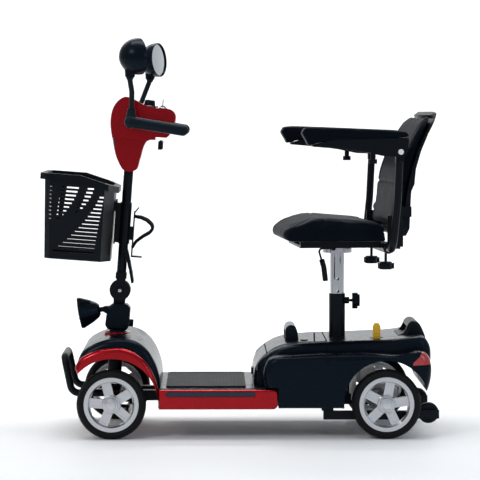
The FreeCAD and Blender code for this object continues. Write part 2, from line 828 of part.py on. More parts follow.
def reflector_wedge(side):
    """The side view of a rear lens, from the side face in to where the rear face begins."""
    low, high = sorted((side * 196.0, side * 250.0))
    return prism([(868, 219), (886, 236), (902, 262), (940, 262), (940, 216), (868, 212)], low, high)


def rear_reflectors():
    """Two red lenses let into the rear corners of the body, flush with its skin."""
    outer = rear_body_shape()
    lenses = [outer.common(reflector_wedge(side)) for side in (-1, 1)]
    node("rear_reflectors", in_axle_frame(solid(Part.makeCompound(lenses), "rear_reflectors_shape")))


def rear_guard():
    """Moulded grab handle at the back of the body, open in front for the fingers."""
    half = 84
    block = fillet_some(rear_handle_block(half), 12, crown_edges(-half, half))
    fingers = Part.makeBox(60, 124, 22, Vector(838, -62, 289))
    block = block.cut(fillet_some(fingers, 7, along_y))
    feet = Part.makeBox(100, 200, 40, Vector(830, -100, 220))
    block = block.cut(rear_body_shape()).cut(feet)
    node("rear_guard", in_axle_frame(solid(block, "rear_guard_shape")))


def drive_unit():
    """Motor, gearbox, driven axle and the electronic controller."""
    axle = C.wheelbase
    housing = rod(axle, -34, C.wheel_radius, 46, 68, "y")
    tubes = rod(axle, -150, C.wheel_radius, 20, 300, "y")
    shaft = rod(axle, -C.half_track - 22, C.wheel_radius, 8, 2 * C.half_track + 44, "y")
    motor = rod(axle - 50, 40, C.wheel_radius + 64, 36, 120, "y")
    neck = box(axle - 60, 30, C.wheel_radius, 60, 26, 70)
    board = box(680, -150, 190, 70, 110, 36)
    foot = box(690, -150, C.wheel_radius + 22, 20, 95, 70)
    link = box(700, -70, C.wheel_radius - 8, axle - 700, 140, 30)
    node("drive_unit", in_axle_frame(fuse(housing, tubes, shaft, motor, neck, board, foot, link)))


def anti_tip_arms():
    """Two lower bars that run back to the forks of the anti-tip wheels."""
    pieces = []
    for side in (-1, 1):
        y = side * C.tip_arm_y
        pieces.append(box(613, y - 12, 50, 271, 24, 24))
        pieces.append(box(613, y - 12, 73.9, 24, 24, 2))
        for offset in (-17, 13):
            pieces.append(box(880, y + offset, 53, 68, 4, 25))
        pieces.append(box(878, y - 17, 53, 8, 34, 21))
        pieces.append(rod(C.tip_wheel_x, y - 19, C.tip_wheel_height, 4, 38, "y"))
    node("anti_tip_arms", in_axle_frame(fuse(*pieces)))


def freewheel_lever():
    """Small lever that frees the drive; it swings about a cross pin."""
    thing = body("freewheel_lever")
    view = sketch(thing, "XZ_Plane")
    polygon(view, [(-7, -7), (7, -7), (10, 18), (11, 50), (6, 61), (-7, 61), (-12, 50), (-11, 18)])
    pad(thing, view, 14)
    round_edges(thing, 4, along_y)
    hole = sketch(thing, "XZ_Plane")
    circle(hole, 0, 0, 3 + C.running_gap)
    pocket(thing, hole, 30)
    place(thing, C.front_axle_x + 773, -100, 262)


# ---- steering -----------------------------------------------------------------------------

def steering_stem():
    """Steering shaft with its lower arm and the pin that drives the tie rod."""
    bottom = -349.0
    shaft = rod(0, 0, bottom, C.stem_radius, 225)
    neck = cone(0, 0, -140, 26, 24, 21)
    arm = box(-14, -9, bottom, C.steer_arm + 22, 18, 8)
    pin = rod(C.steer_arm, 0, bottom - 14, 5, 15)
    node("steering_stem", in_tiller_frame(fuse(shaft, neck, arm, pin)))


def tiller_housing():
    """Block on the steering neck with the fold tongue on top and the lamp's ears in front."""
    lump = side_plate("tiller_housing", [
        (-28, -118.6), (26, -118.6), (34, -106), (35, -50), (24, -39), (-16, -39), (-34, -54),
        (-37, -106)], 32, 9, 8)
    tongue = sketch(lump, "XZ_Plane")
    circle(tongue, 0, 0, 28)
    pad(lump, tongue, 22)
    neck = sketch(lump, "XZ_Plane")
    polygon(neck, [(-16, -50), (-20, 0), (20, 0), (16, -50)])
    pad(lump, neck, 22)
    ears = sketch(lump, "XZ_Plane")
    polygon(ears, [(-30, -76), (-30, -50), (-44, -52), (-49, -60), (-46, -68)])
    pad(lump, ears, 26)
    gap = sketch(lump, "XZ_Plane")
    polygon(gap, [(-33, -84), (-33, -44), (-76, -44), (-76, -84)])
    pocket(lump, gap, 14)
    knob = sketch(lump, "YZ_Plane", 30)
    circle(knob, 0, -96, 11)
    pad(lump, knob, 16, symmetric=False)
    lamp_pin = sketch(lump, "XZ_Plane")
    circle(lamp_pin, LAMP_PIVOT[0], LAMP_PIVOT[1], 3)
    pad(lump, lamp_pin, 30)
    hole = sketch(lump, "XZ_Plane")
    circle(hole, 0, 0, 6 + C.running_gap)
    pocket(lump, hole, 60)
    in_tiller_frame(lump)


LAMP_PIVOT = (-42.0, -60.0)


def headlamp():
    """Round lamp: a hollow shell with a hinge lug behind, and its lens."""
    shell = body("headlamp_shell")
    profile = sketch(shell, "XZ_Plane")
    polygon(profile, [(-66, 41), (-66, 46), (-58, 46), (-51, 43), (-28, 33), (-10, 22), (-4, 15),
                      (-4, 0.0), (-8, 0.0), (-12, 15), (-30, 27), (-56, 40), (-60, 41)])
    revolve(shell, profile, "H_Axis")
    doc.recompute()
    lug = sketch(shell, "XZ_Plane")
    polygon(lug, [(-9, -7), (-9, 7), (12, 7), (17, 0), (12, -7)])
    circle(lug, 10, 0, 3 + C.running_gap)
    pad(shell, lug, 13)
    lens = body("headlamp_lens")
    front = sketch(lens, "XZ_Plane")
    polygon(front, [(-71, 0), (-70, 20), (-66, 39), (-61, 40.6), (-59, 37), (-62, 20), (-63, 0)])
    revolve(lens, front, "H_Axis")
    x, z = LAMP_PIVOT
    turn = math.radians(DIMENSIONS["lean"])
    pivot_x = x * math.cos(turn) + z * math.sin(turn)
    pivot_z = -x * math.sin(turn) + z * math.cos(turn)
    nod = 10.0
    reach = 10.0
    for thing in (shell, lens):
        place(thing, C.front_axle_x + C.fold_x + pivot_x - reach * math.cos(math.radians(nod)), 0,
              C.fold_height + pivot_z - reach * math.sin(math.radians(nod)), Y_AXIS, -nod)


def knuckles():
    """C-shaped steering knuckles with kingpin, stub axle and steering arm."""
    for side, name in ((-1, "left"), (1, "right")):
        pin = rod(0, 0, -36, 8, 72)
        arms = [box(-14, -14 if side > 0 else -22, z, 28, 36, 6) for z in (-32, 26)]
        upright = box(-14, 15 if side > 0 else -22, -32, 28, 7, 64)
        steer = box(-9, -9, -38, C.steer_arm + 18, 18, 6.5)
        ball_pin = rod(C.steer_arm, 0, -50, 5, 14)
        yoke = fuse(pin, *arms, upright, steer, ball_pin)
        stub = place(rod(0, 0, 0, 8, C.half_track + 22 - C.kingpin_y - 16), 0,
                     side * 16.0, 0, X_AXIS, -90 * side)
        node(f"knuckle_{name}", in_kingpin_frame(fuse(yoke, stub), side))


def tie_rod():
    """Straight rod that links both steering arms to the stem."""
    bar = box(C.steer_arm - 8, -C.kingpin_y - 12, -49, 16, 2 * C.kingpin_y + 24, 8)
    holes = [rod(C.steer_arm, side * C.kingpin_y, -60, 5 + C.running_gap, 40) for side in (-1, 1)]
    slope = math.tan(math.radians(DIMENSIONS["lean"]))
    shift = (DIMENSIONS["fold_x"] - (DIMENSIONS["fold_height"] - 100) * slope) \
        * math.cos(math.radians(DIMENSIONS["lean"]))
    lug = rod(C.steer_arm + shift, 0, -49, 12, 8)
    hole = rod(C.steer_arm + shift, 0, -60, 5 + C.running_gap, 40)
    node("tie_rod", in_kingpin_frame(cut(fuse(bar, lug), *holes, hole), 0))


# ---- tiller -------------------------------------------------------------------------------

def tiller_tube():
    """Tiller tube with the fold cheeks at its foot and the basket plate welded in front."""
    cheeks = [rod(0, y, 0, 31, 8, "y") for y in (-20.4, 12.4)]
    webs = [box(-13, y, 0, 26, 8, 48) for y in (-20.4, 12.4)]
    bridge = box(-16, -20.4, 34, 32, 40.8, 18)
    pin = rod(0, -24, 0, 6, 48, "y")
    heads = [rod(0, y, 0, 9, 4, "y") for y in (-26.5, 22.5)]
    bar = rod(0, 0, 46, C.tiller_radius, 330)
    sleeve = rod(0, 0, 138, C.tiller_radius + 3, 122)
    strut = box(-27, -9, 140, 14, 18, 118)
    plate = box(-30, -24, 136, 4, 48, 132)
    lever_pin = rod(6, -22, 118, 4, 44, "y")
    node("tiller_tube", in_tiller_frame(fuse(*cheeks, *webs, bridge, pin, *heads, bar, sleeve, strut,
                                             plate, lever_pin)))


def tilt_lever():
    """Channel-shaped lever that straddles the tube and releases the tilt."""
    thing = body("tilt_lever")
    view = sketch(thing, "XZ_Plane")
    polygon(view, [(-7, 6), (0, 9), (8, 4), (18, -30), (27, -62), (33, -92), (26, -97), (17, -60),
                   (6, -24), (-6, -4)])
    pad(thing, view, 45)
    round_edges(thing, 2.5, along_y)
    hollow = sketch(thing, "XZ_Plane")
    polygon(hollow, [(-30, 20), (30, 20), (30, -36), (14, -38), (22, -62), (26, -110), (-30, -110)])
    pocket(thing, hollow, 38)
    hole = sketch(thing, "XZ_Plane")
    circle(hole, 0, 0, 4 + C.running_gap)
    pocket(thing, hole, 60)
    turn = math.radians(DIMENSIONS["lean"])
    x, z = 6.0, 118.0
    place(thing, C.front_axle_x + C.fold_x + x * math.cos(turn) + z * math.sin(turn), 0,
          C.fold_height - x * math.sin(turn) + z * math.cos(turn), Y_AXIS, C.lean)


CAGE_ARM = [(27, 221), (47, 219), (66, 212), (80, 200), (84, 189), (76, 177), (54, 162), (37, 147),
            (27, 129)]


def bottle_cage():
    """Open holder behind the tube: back plate, hooked top, two looped arms and a bottom tongue."""
    plate = box(24.5, -18, 100, 4, 36, 136)
    saddle = box(15, -10, 150, 11, 20, 40)
    hook = place(box(0, -18, 0, 4, 36, 20), 24.6, 0, 232, Y_AXIS, 35)
    tongue = box(24.5, -18, 100, 32, 36, 4)
    arms = []
    for side in (-1, 1):
        path = [(x, side * min(34, 14 + 0.62 * (x - 27)), z) for x, z in CAGE_ARM]
        arms.append(tube(path, 4.6, bend=12))
    bridge = rod(83, -34, 189, 4.6, 68, "y")
    hole = rod(0, 0, 90, C.tiller_radius + 3, 160)
    node("bottle_cage", in_tiller_frame(cut(fuse(plate, saddle, hook, tongue, *arms, bridge), hole)))


def basket_plan(front, rear, half, z):
    """Outline of the basket at one height: bevelled behind, with small corners in front."""
    bevel = (26, 74)
    clip = 15
    corners = [(front + clip, -half), (rear - bevel[0], -half), (rear, -half + bevel[1]),
               (rear, half - bevel[1]), (rear - bevel[0], half), (front + clip, half),
               (front, half - clip), (front, -half + clip)]
    points = [Vector(x, y, z) for x, y in corners]
    return Part.makePolygon(points + points[:1])


def basket_tub(shrink):
    """The tapered tub as a loft between its floor and its mouth, all sides moved in by shrink."""
    floor, mouth = (86 + shrink, 340 + shrink)
    low = basket_plan(-224 + shrink, -34 - shrink, 128 - shrink, floor)
    high = basket_plan(-236 + shrink, -34 - shrink, 168 - shrink, mouth)
    return Part.makeLoft([low, high], True)


def rim_band(drop, rise):
    """Side view of the rim: level in front, then falling towards the tiller."""
    return prism([(-250, 335 - drop), (-132, 335 - drop), (-20, 306 - drop), (-20, 306 + rise),
                  (-132, 335 + rise), (-250, 335 + rise)], -180, 180)


def slot_bands(row):
    """Front and rear ends of the side slots in one row; curved solid bands lie between them."""
    bands = []
    if row <= 8:
        bands.append((-218.5, -208))
        bands.append((-187 - row, -135 - 2.75 * row - 0.43 * row ** 2))
    if row <= 6:
        bands.append((-121 - 3.7 * row, -91 - 2.7 * row - 0.63 * row ** 2))
    if row >= 2:
        bands.append((-77 - 2.4 * row - 0.33 * row ** 2, -58.5 - 1.4 * row))
    return [(low, high) for low, high in bands if high - low > 4]


def basket():
    """Slotted plastic basket, open on top, with a turned-out rim and a hanger behind."""
    thickness = DIMENSIONS["basket_wall"]
    pitch = DIMENSIONS["slot_pitch"]
    high = DIMENSIONS["slot_height"]
    above = rim_band(6, 60)
    shape = basket_tub(0).cut(basket_tub(thickness)).cut(above)
    outer = Part.Face(basket_plan(-248, -22.5, 176, 270)).extrude(Vector(0, 0, 90))
    inner = Part.Face(basket_plan(-233, -38.5, 161, 260)).extrude(Vector(0, 0, 110))
    rim_ring = outer.cut(inner).common(rim_band(18, 0))
    slots = []
    rows, top_slot = 17, 298.0
    for row in range(rows):
        z = top_slot - row * pitch - high / 2
        for low, high_x in slot_bands(row):
            slots.append(Part.makeBox(high_x - low, 400, high, Vector(low, -200, z)))
        reach = 128 - 1.7 * row
        for low, high_y in ((-reach, -reach * 0.38), (-reach * 0.26, reach * 0.26),
                            (reach * 0.38, reach)):
            slots.append(Part.makeBox(40, high_y - low, high, Vector(-255, low, z)))
    for step in range(9):
        y = -96 + step * 24
        slots.append(Part.makeBox(110, 12, 20, Vector(-190, y - 6, 78)))
    shape = shape.cut(Part.makeCompound(slots)).fuse(rim_ring)
    hanger = Part.makeBox(5.6, 60, 30, Vector(-36, -30, 232))
    shape = shape.fuse(hanger)
    node("basket", in_tiller_frame(solid(shape, "basket_shape")))


HEAD_OUTLINE = [(-20, 362), (-28, 375), (-37, 392), (-45, 420), (-53, 454), (-59, 483), (-60, 503),
                (-57, 530), (-44, 556), (-20, 571), (2, 566), (30, 553), (80, 545), (117, 541),
                (127, 530), (127, 505), (120, 480), (108, 462), (76, 452), (50, 446), (40, 428),
                (35, 403), (30, 380), (25, 362)]


def head_shell():
    """Red control pod at the top of the tiller."""
    outline = spline_outline(HEAD_OUTLINE, -88)
    pod = Part.Face(outline).extrude(Vector(0, 176, 0))
    pod = fillet_some(pod, 14, lambda edge: flat_at_y(-88, 88)(edge))
    neck_trim = Part.makeBox(200, 60, 100, Vector(-80, 48, 350))
    other = Part.makeBox(200, 60, 100, Vector(-80, -108, 350))
    pod = pod.cut(neck_trim).cut(other)
    bore = Part.makeCylinder(DIMENSIONS["tiller_radius"], 60, Vector(0, 0, 316), Z_AXIS)
    sides = Part.makeCylinder(11.3, 400, Vector(0, -200, DIMENSIONS["bar_height"]), Y_AXIS)
    sinks = [Part.makeCylinder(20, 40, Vector(48, 0, 542), Z_AXIS)]
    sinks += [Part.makeCylinder(8.5, 16, Vector(88, y, 533), Z_AXIS) for y in (-22, 22)]
    throttle_slot = Part.makeBox(30, 190, 20, Vector(74, -95, 440))
    well = Part.makeCylinder(5.5, 12, Vector(88, -52, 535), Z_AXIS)
    shape = pod.cut(bore).cut(sides).cut(throttle_slot).cut(well)
    for sink in sinks:
        shape = shape.cut(sink)
    node("head_shell", in_tiller_frame(solid(shape, "head_shell_shape")))


MIRROR_STEMS = {
    -1: [(4, -4, 508), (4, 2, 540), (2, 18, 585), (-6, 34, 622)],
    1: [(4, -4, 508), (10, 2, 540), (22, 18, 582), (36, 34, 628)],
}


def bar_end(distance):
    """Height of the sloping bar end at one distance behind the bar's corner."""
    return DIMENSIONS["bar_height"] - distance * math.tan(math.radians(DIMENSIONS["grip_slope"]))


def bar_tube():
    """Handlebar path: across through the pod, round a corner on each side and back."""
    side, high = DIMENSIONS["grip_y"], DIMENSIONS["bar_height"]
    return tube([(156, -side, bar_end(156)), (0, -side, high), (0, side, high),
                 (156, side, bar_end(156))], 11, bend=16)


def mirror_stem(sign, radius):
    side = DIMENSIONS["grip_y"]
    return tube([(x, sign * (side + out), z) for x, out, z in MIRROR_STEMS[sign]], radius, bend=14)


def handlebar():
    """Bar through the pod with rearward ends, and the two mirror stems with their ball ends."""
    side = DIMENSIONS["grip_y"]
    stems = []
    for sign in (-1, 1):
        x, out, z = MIRROR_STEMS[sign][-1]
        stems.append(mirror_stem(sign, 7.5))
        stems.append(ball(x, sign * (side + out), z + 4, 11))
    node("handlebar", in_tiller_frame(fuse(bar_tube(), *stems)))


def hand_grips():
    """Rubber grips on the bar's rearward ends, each with a boot round the foot of the mirror stem."""
    pieces = []
    for sign in (-1, 1):
        y = sign * DIMENSIONS["grip_y"]
        grip = tube([(6, y, bar_end(6)), (154, y, bar_end(154))], 16)
        end = ball(154, y, bar_end(154), 16)
        boot = ball(4, y, bar_end(2), 18.5)
        collar = cone(4, y - sign * 4, DIMENSIONS["bar_height"], 17, 11, 38)
        pieces.append(cut(fuse(grip, end, boot, collar), bar_tube(), mirror_stem(sign, 7.5)))
    node("hand_grips", in_tiller_frame(fuse(*pieces)))


def in_head(thing, x, y, z, axis=None, angle=0):
    """Puts a console piece at its own pivot, in the tiller's frame."""
    turn = math.radians(DIMENSIONS["lean"])
    lean = Rotation(Y_AXIS, DIMENSIONS["lean"])
    extra = Rotation(axis, angle) if axis else Rotation()
    spot = Vector(x * math.cos(turn) + z * math.sin(turn), y, -x * math.sin(turn) + z * math.cos(turn))
    thing.Placement = Placement(spot, lean.multiply(extra))
    bind(thing, "Placement.Base.x", C.front_axle_x + C.fold_x + spot.x)
    bind(thing, "Placement.Base.y", y)
    bind(thing, "Placement.Base.z", C.fold_height + spot.z)
    return thing


def console_pieces():
    """Speed dial, key, two push buttons and the throttle lever."""
    dial = body("speed_dial")
    profile = sketch(dial, "XZ_Plane")
    polygon(profile, [(0, -4), (19, -4), (19, 2), (17, 4), (15, 18), (13, 20), (0, 20)])
    revolve(dial, profile)
    doc.recompute()
    nicks = sketch(dial, "XY_Plane", 4)
    circle(nicks, 18.5, 0, 3)
    nick = pocket(dial, nicks, 30, symmetric=False, reverse=True)
    ring_pattern(dial, nicks, nick, 12)
    in_head(dial, 48, 0, 547)

    blade = fuse(rod(0, 0, -10, 4.5, 18), box(-1.5, -9, 6, 3, 18, 20))
    node("key", in_head(blade, 88, -52, 546))

    for name, y in (("horn_button", -22), ("power_button", 22)):
        button = body(name)
        section = sketch(button, "XZ_Plane")
        polygon(section, [(0, -6), (8, -6), (8, 5), (6.5, 7), (0, 7.5)])
        revolve(button, section)
        in_head(button, 88, y, 545)

    throttle = fuse(rod(0, -84, 0, 5, 168, "y"),
                    *[box(-6, -84 if side < 0 else 68, -22, 12, 16, 24) for side in (-1, 1)])
    node("throttle_lever", in_head(throttle, 89, 0, 446))


def mirror_bowl():
    """Deep round housing about the X axis, with a lip round its sunken glass."""
    depth, radius, lip, sink = 54.0, 52.0, 7.5, 3.5
    curve = Part.BSplineCurve()
    angles = [math.radians(15 * step) for step in range(7)]
    curve.interpolate([Vector(-depth * math.cos(a), 0, radius * math.sin(a)) for a in angles])
    corners = [(0, radius), (lip, radius), (lip, radius - 3), (sink, radius - 3), (sink, 0), (-depth, 0)]
    edges = [curve.toShape()]
    for one, two in zip(corners, corners[1:]):
        edges.append(Part.makeLine(Vector(one[0], 0, one[1]), Vector(two[0], 0, two[1])))
    return Part.Face(Part.Wire(edges)).revolve(Vector(0, 0, 0), X_AXIS, 360)


def mirrors():
    """Mirror housings turned inward on the ball ends of their stems."""
    for side, name in ((-1, "left"), (1, "right")):
        bowl = mirror_bowl()
        bowl.translate(Vector(28, 0, 57))
        bowl.rotate(Vector(0, 0, 0), Y_AXIS, -8)
        bowl.rotate(Vector(0, 0, 0), Z_AXIS, -side * 25)
        neck = Part.makeCone(13.5, 17, 24, Vector(0, 0, 0), Z_AXIS)
        whole = bowl.fuse(neck).cut(Part.makeSphere(11.3))
        thing = solid(whole, f"mirror_{name}_shape")
        x, out, z = MIRROR_STEMS[side][-1]
        node(f"mirror_{name}", in_head(thing, x, side * (DIMENSIONS["grip_y"] + out), z + 4))


# ---- seat ---------------------------------------------------------------------------------

def post_holes(z):
    return rod(0, -30, z, 4, 60, "y")


def seat_post_upper():
    """Sliding seat post with its row of height holes and the flange under the swivel."""
    post = rod(0, 0, 290, C.post_radius, C.swivel_height - 15 - 290)
    bore = rod(0, 0, 280, C.post_radius - 2.5, 230)
    holes = [post_holes(z) for z in (310, 342, 374, 410, 447)]
    flange = rod(0, 0, C.swivel_height - 15, 44, 14.7)
    node("seat_post_upper", in_seat_frame(cut(fuse(post, flange), bore, *holes)))


def star_knob(label, x, y, z, axis, angle, stem):
    """Five-lobed hand knob on a threaded stem."""
    thing = body(label)
    plan = sketch(thing, "XY_Plane")
    circle(plan, 0, 0, 18)
    pad(thing, plan, 22, symmetric=False)
    lobe_plan = sketch(thing, "XY_Plane")
    circle(lobe_plan, 17, 0, 8)
    lobe = pad(thing, lobe_plan, 16, symmetric=False)
    ring_pattern(thing, lobe_plan, lobe, 5)
    doc.recompute()
    stem_plan = sketch(thing, "XY_Plane", -stem)
    circle(stem_plan, 0, 0, 4)
    pad(thing, stem_plan, stem + 0.5, symmetric=False)
    return place(thing, x, y, z, axis, angle)


def seat_frame():
    """Swivel plate, pan, backrest brackets and the cross tube that takes the armrest posts."""
    plate = rod(0, 0, C.swivel_height, 44, 6)
    pan = box(-128, -150, 546, 250, 300, 8)
    rim_bars = [box(-128, y, 553, 236, 12, 12.7) for y in (-150, 138)]
    receiver = rod(C.receiver_x, -195, C.receiver_height, 16, 390, "y")
    joiner = box(100, -150, 546, 40, 300, 10)
    brackets = []
    for side in (-1, 1):
        y = 205 if side > 0 else -209
        brackets.append(box(118, y, 552, 46, 4, 90))
        brackets.append(rod(155, y, 653, 16, 4, "y"))
        brackets.append(box(110, -209 if side < 0 else 150, 546, 46, 59, 6))
    pins = [rod(155, y, 653, 6, 16, "y") for y in (-214, 198)]
    bore = rod(C.receiver_x, -215, C.receiver_height, 11 + C.running_gap, 430, "y")
    lever_pin = rod(-20, -68, 540, 2, 22, "y")
    lever_ears = [box(-25, y, 534, 10, 3, 13) for y in (-68, -49)]
    holes = [rod(C.receiver_x, y, 520, 4.3, 20) for y in (-140, 140)]
    welded = fuse(plate, pan, *rim_bars, receiver, joiner, *brackets, *pins, *lever_ears, lever_pin)
    node("seat_frame", in_seat_frame(cut(welded, bore, *holes)))


def width_knobs():
    """Two star knobs that clamp the armrest posts."""
    pieces = []
    for y in (-140, 140):
        knob = rod(C.receiver_x, y, 483, 18, 22)
        lobes = []
        for turn in range(5):
            angle = math.radians(72 * turn)
            lobes.append(rod(C.receiver_x + 17 * math.cos(angle), y + 17 * math.sin(angle), 485, 8, 16))
        stem = rod(C.receiver_x, y, 504, 4, 31.5)
        pieces.append(fuse(knob, *lobes, stem))
    node("width_knobs", in_seat_frame(fuse(*pieces)))


def swivel_lever():
    """Bent wire lever with a plastic handle that releases the swivel."""
    wire = tube([(-20, -57, 540), (-64, -57, 540), (-52, -56, 500), (-40, -40, 470)], 3, bend=10)
    handle = tube([(-53, -57, 505), (-46, -48, 484), (-40, -40, 444)], 8, bend=20)
    lug = rod(-20, -64.4, 540, 5, 14.8, "y")
    hole = rod(-20, -70, 540, 2.05, 30, "y")
    node("swivel_lever", in_seat_frame(cut(fuse(wire, handle, lug), hole)))


def soft_block(label, outline, half_width, radius):
    """A stuffed piece: a side view padded across Y with soft borders."""
    thing = side_plate(label, outline, half_width)
    round_edges(thing, radius, flat_at_y(-sized(half_width).value, sized(half_width).value))
    del NODES[label]
    return thing


def trimmed(label, thing, mask):
    """Keeps the part of a seat piece that lies inside a mask, as the finished sub-part."""
    node(label, in_seat_frame(common(thing, mask)))


def rounded_block(size, spot, radii, choices, label):
    """A box whose chosen edges are rounded by the given radii, as a mask."""
    shape = Part.makeBox(*size, Vector(*spot))
    for radius, choose in zip(radii, choices):
        shape = fillet_some(shape, radius, choose)
    return solid(shape, label)


def seat_cushion():
    """Padded seat: its side view, with wide round corners in front and small ones behind."""
    half = DIMENSIONS["cushion_half_width"]
    block = side_plate("seat_cushion", [(-176, 572), (-183, 584), (-181, 600), (-164, 610),
                                        (-122, 624), (-94, 632), (-56, 634), (20, 628), (90, 622),
                                        (108, 616), (115, 604), (115, 566), (-160, 566)],
                       C.cushion_half_width)
    del NODES["seat_cushion"]
    mask = rounded_block(
        (320, 2 * half, 120), (-186, -half, 540), (80, 30),
        (lambda edge: along_z(edge) and edge.BoundBox.XMax < 0,
         lambda edge: along_z(edge) and edge.BoundBox.XMin > 100), "seat_cushion_plan")
    trimmed("seat_cushion", block, mask)


def back_view(half, low, high, label):
    """Front view of the backrest: wide round corners above, smaller ones below."""
    return rounded_block((260, 2 * half, high - low), (90, -half, low), (84, 34),
                         (lambda edge: along_x(edge) and edge.BoundBox.ZMin > low + 100,
                          lambda edge: along_x(edge) and edge.BoundBox.ZMax < low + 100), label)


def backrest():
    """Folding backrest: plastic shell with its pivot ears, and the padded front."""
    half = DIMENSIONS["back_half_width"]
    pad_block = soft_block("back_cushion", [(133, 620), (143, 660), (149, 718), (157, 766), (172, 810),
                                            (210, 882), (228, 912), (250, 930), (260, 922), (230, 876),
                                            (209, 830), (193, 780), (183, 736), (176, 700), (170, 640),
                                            (158, 600), (140, 600)], C.back_half_width - 1.5, 5)
    trimmed("back_cushion", pad_block, back_view(half - 1.5, 598, 934, "back_cushion_view"))
    moulding = side_plate("back_shell_moulding", [
        (141, 599.4), (158.5, 599.4), (170.5, 640), (176.5, 700), (183.5, 736), (193.5, 780),
        (209.5, 830), (230.5, 876), (260.6, 922), (254, 932), (264, 942), (272, 938), (259, 912),
        (238, 876), (218, 828), (203, 776), (199, 732), (190, 712), (188, 682), (185, 604),
        (177, 582), (156, 580), (141, 590)], C.back_half_width - 1, 0, 0)
    del NODES["back_shell_moulding"]
    moulding = common(moulding, back_view(half - 1, 579, 943, "back_shell_view"))
    ears = []
    for low in (-C.back_half_width - 8, C.back_half_width - 1.3):
        ear = fuse(rod(155, low, 653, 15, 9.3, "y"), box(155, low, 638, 34, 9.3, 30))
        ears.append(cut(ear, rod(155, low - 5, 653, 6 + C.running_gap, 20, "y")))
    node("back_shell", in_seat_frame(fuse(moulding, *ears)))


def armrests():
    """Armrest posts, flip-up arm bases and their pads."""
    pivot_x, pivot_z = DIMENSIONS["arm_pivot_x"], DIMENSIONS["arm_pivot_height"]
    for side, name in ((-1, "left"), (1, "right")):
        y = side * DIMENSIONS["arm_y"]
        low = DIMENSIONS["receiver_height"]
        leg_x = DIMENSIONS["receiver_x"]
        leg = tube([(leg_x, side * 60, low), (leg_x, y, low), (pivot_x - 6, y, low + 130),
                    (pivot_x, y, pivot_z - 26)], 11, bend=34)
        tongue = box(pivot_x - 12, side * C.arm_y - 6, pivot_z - 30, 24, 12, 30)
        eye = rod(pivot_x, side * C.arm_y - 6, pivot_z, 13, 12, "y")
        hole = rod(pivot_x, side * C.arm_y - 10, pivot_z, 5 + C.running_gap, 20, "y")
        node(f"arm_post_{name}", in_seat_frame(cut(fuse(leg, tongue, eye), hole)))

        base = side_plate(f"arm_base_moulding_{name}", [
            (-124, 843), (-14, 834), (42, 826), (96, 815), (152, 813), (164, 828), (166, 867),
            (-52, 862)], 21, 3, 0)
        del NODES[f"arm_base_moulding_{name}"]
        place(base, 0, side * C.arm_y, 0)
        slot = box(pivot_x - 20, side * C.arm_y - 6.4, 780, 60, 12.8, 62)
        peg = rod(66, side * C.arm_y, pivot_z - 22, 7, 24)
        foot = rod(66, side * C.arm_y, pivot_z - 34, 12, 13)
        pin = rod(pivot_x, side * C.arm_y - 21.5, pivot_z, 5, 43, "y")
        heads = [rod(pivot_x, side * C.arm_y + offset, pivot_z, 8, 3.5, "y") for offset in (-24.5, 21)]
        carved = cut(base, slot)
        node(f"arm_base_{name}", in_seat_frame(fuse(carved, peg, foot, pin, *heads)))

        cushion = side_plate(f"arm_pad_{name}", [
            (-143, 880), (-133, 898), (159, 886), (169, 876), (169, 867.6), (-52, 862.6),
            (-122, 845)], 29, 0, 0)
        round_edges(cushion, 6, flat_at_y(-29, 29))
        place(cushion, C.front_axle_x + C.seat_post_x
              - side * C.arm_y.value * math.sin(math.radians(DIMENSIONS["seat_yaw"])),
              side * C.arm_y * math.cos(math.radians(DIMENSIONS["seat_yaw"])), 0,
              Z_AXIS, C.seat_yaw)


# ---- build and export ---------------------------------------------------------------------

wheels()
for tip_side, tip_name in ((-1, "left"), (1, "right")):
    tip_wheel(f"anti_tip_wheel_{tip_name}", tip_side)
main_frame()
floor_pan()
floor_mat()
side_skirts()
front_shroud()
front_panel()
front_bumper()
rear_cover()
battery_case()
battery_cells()
rear_reflectors()
rear_guard()
drive_unit()
anti_tip_arms()
freewheel_lever()
steering_stem()
tiller_housing()
headlamp()
knuckles()
tie_rod()
tiller_tube()
tilt_lever()
bottle_cage()
basket()
head_shell()
handlebar()
hand_grips()
console_pieces()
mirrors()
seat_post_upper()
star_knob("post_knob", C.front_axle_x + C.seat_post_x + 45, 0, C.sleeve_top - 21, Y_AXIS, 90, 22)
seat_frame()
width_knobs()
swivel_lever()
seat_cushion()
backrest()
armrests()

doc.recompute()

for thing in doc.Objects:
    if "Invalid" in thing.State or "Error" in thing.State:
        raise RuntimeError(f"{thing.Label} failed: {thing.State}")
for label, thing in NODES.items():
    if thing.Shape.isNull() or not thing.Shape.isValid() or not thing.Shape.Solids:
        raise RuntimeError(f"{label} has no valid shape")
os.makedirs("parts", exist_ok=True)
for label, thing in NODES.items():
    thing.Shape.exportStep(f"parts/{label}.step")
print(len(NODES), "sub-parts")
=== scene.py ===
import json
import math

import bmesh
import bpy
from mathutils import Matrix, Vector


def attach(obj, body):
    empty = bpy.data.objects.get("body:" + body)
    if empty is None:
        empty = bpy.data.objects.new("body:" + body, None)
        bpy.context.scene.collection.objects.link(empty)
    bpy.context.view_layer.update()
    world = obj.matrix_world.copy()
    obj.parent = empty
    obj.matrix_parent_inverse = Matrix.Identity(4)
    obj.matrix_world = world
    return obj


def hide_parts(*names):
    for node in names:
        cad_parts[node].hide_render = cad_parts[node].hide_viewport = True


# Looks of the mobility scooter, in metres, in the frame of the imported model:
# X runs from front to rear, Y to the rider's right, Z up, the ground is Z = 0.

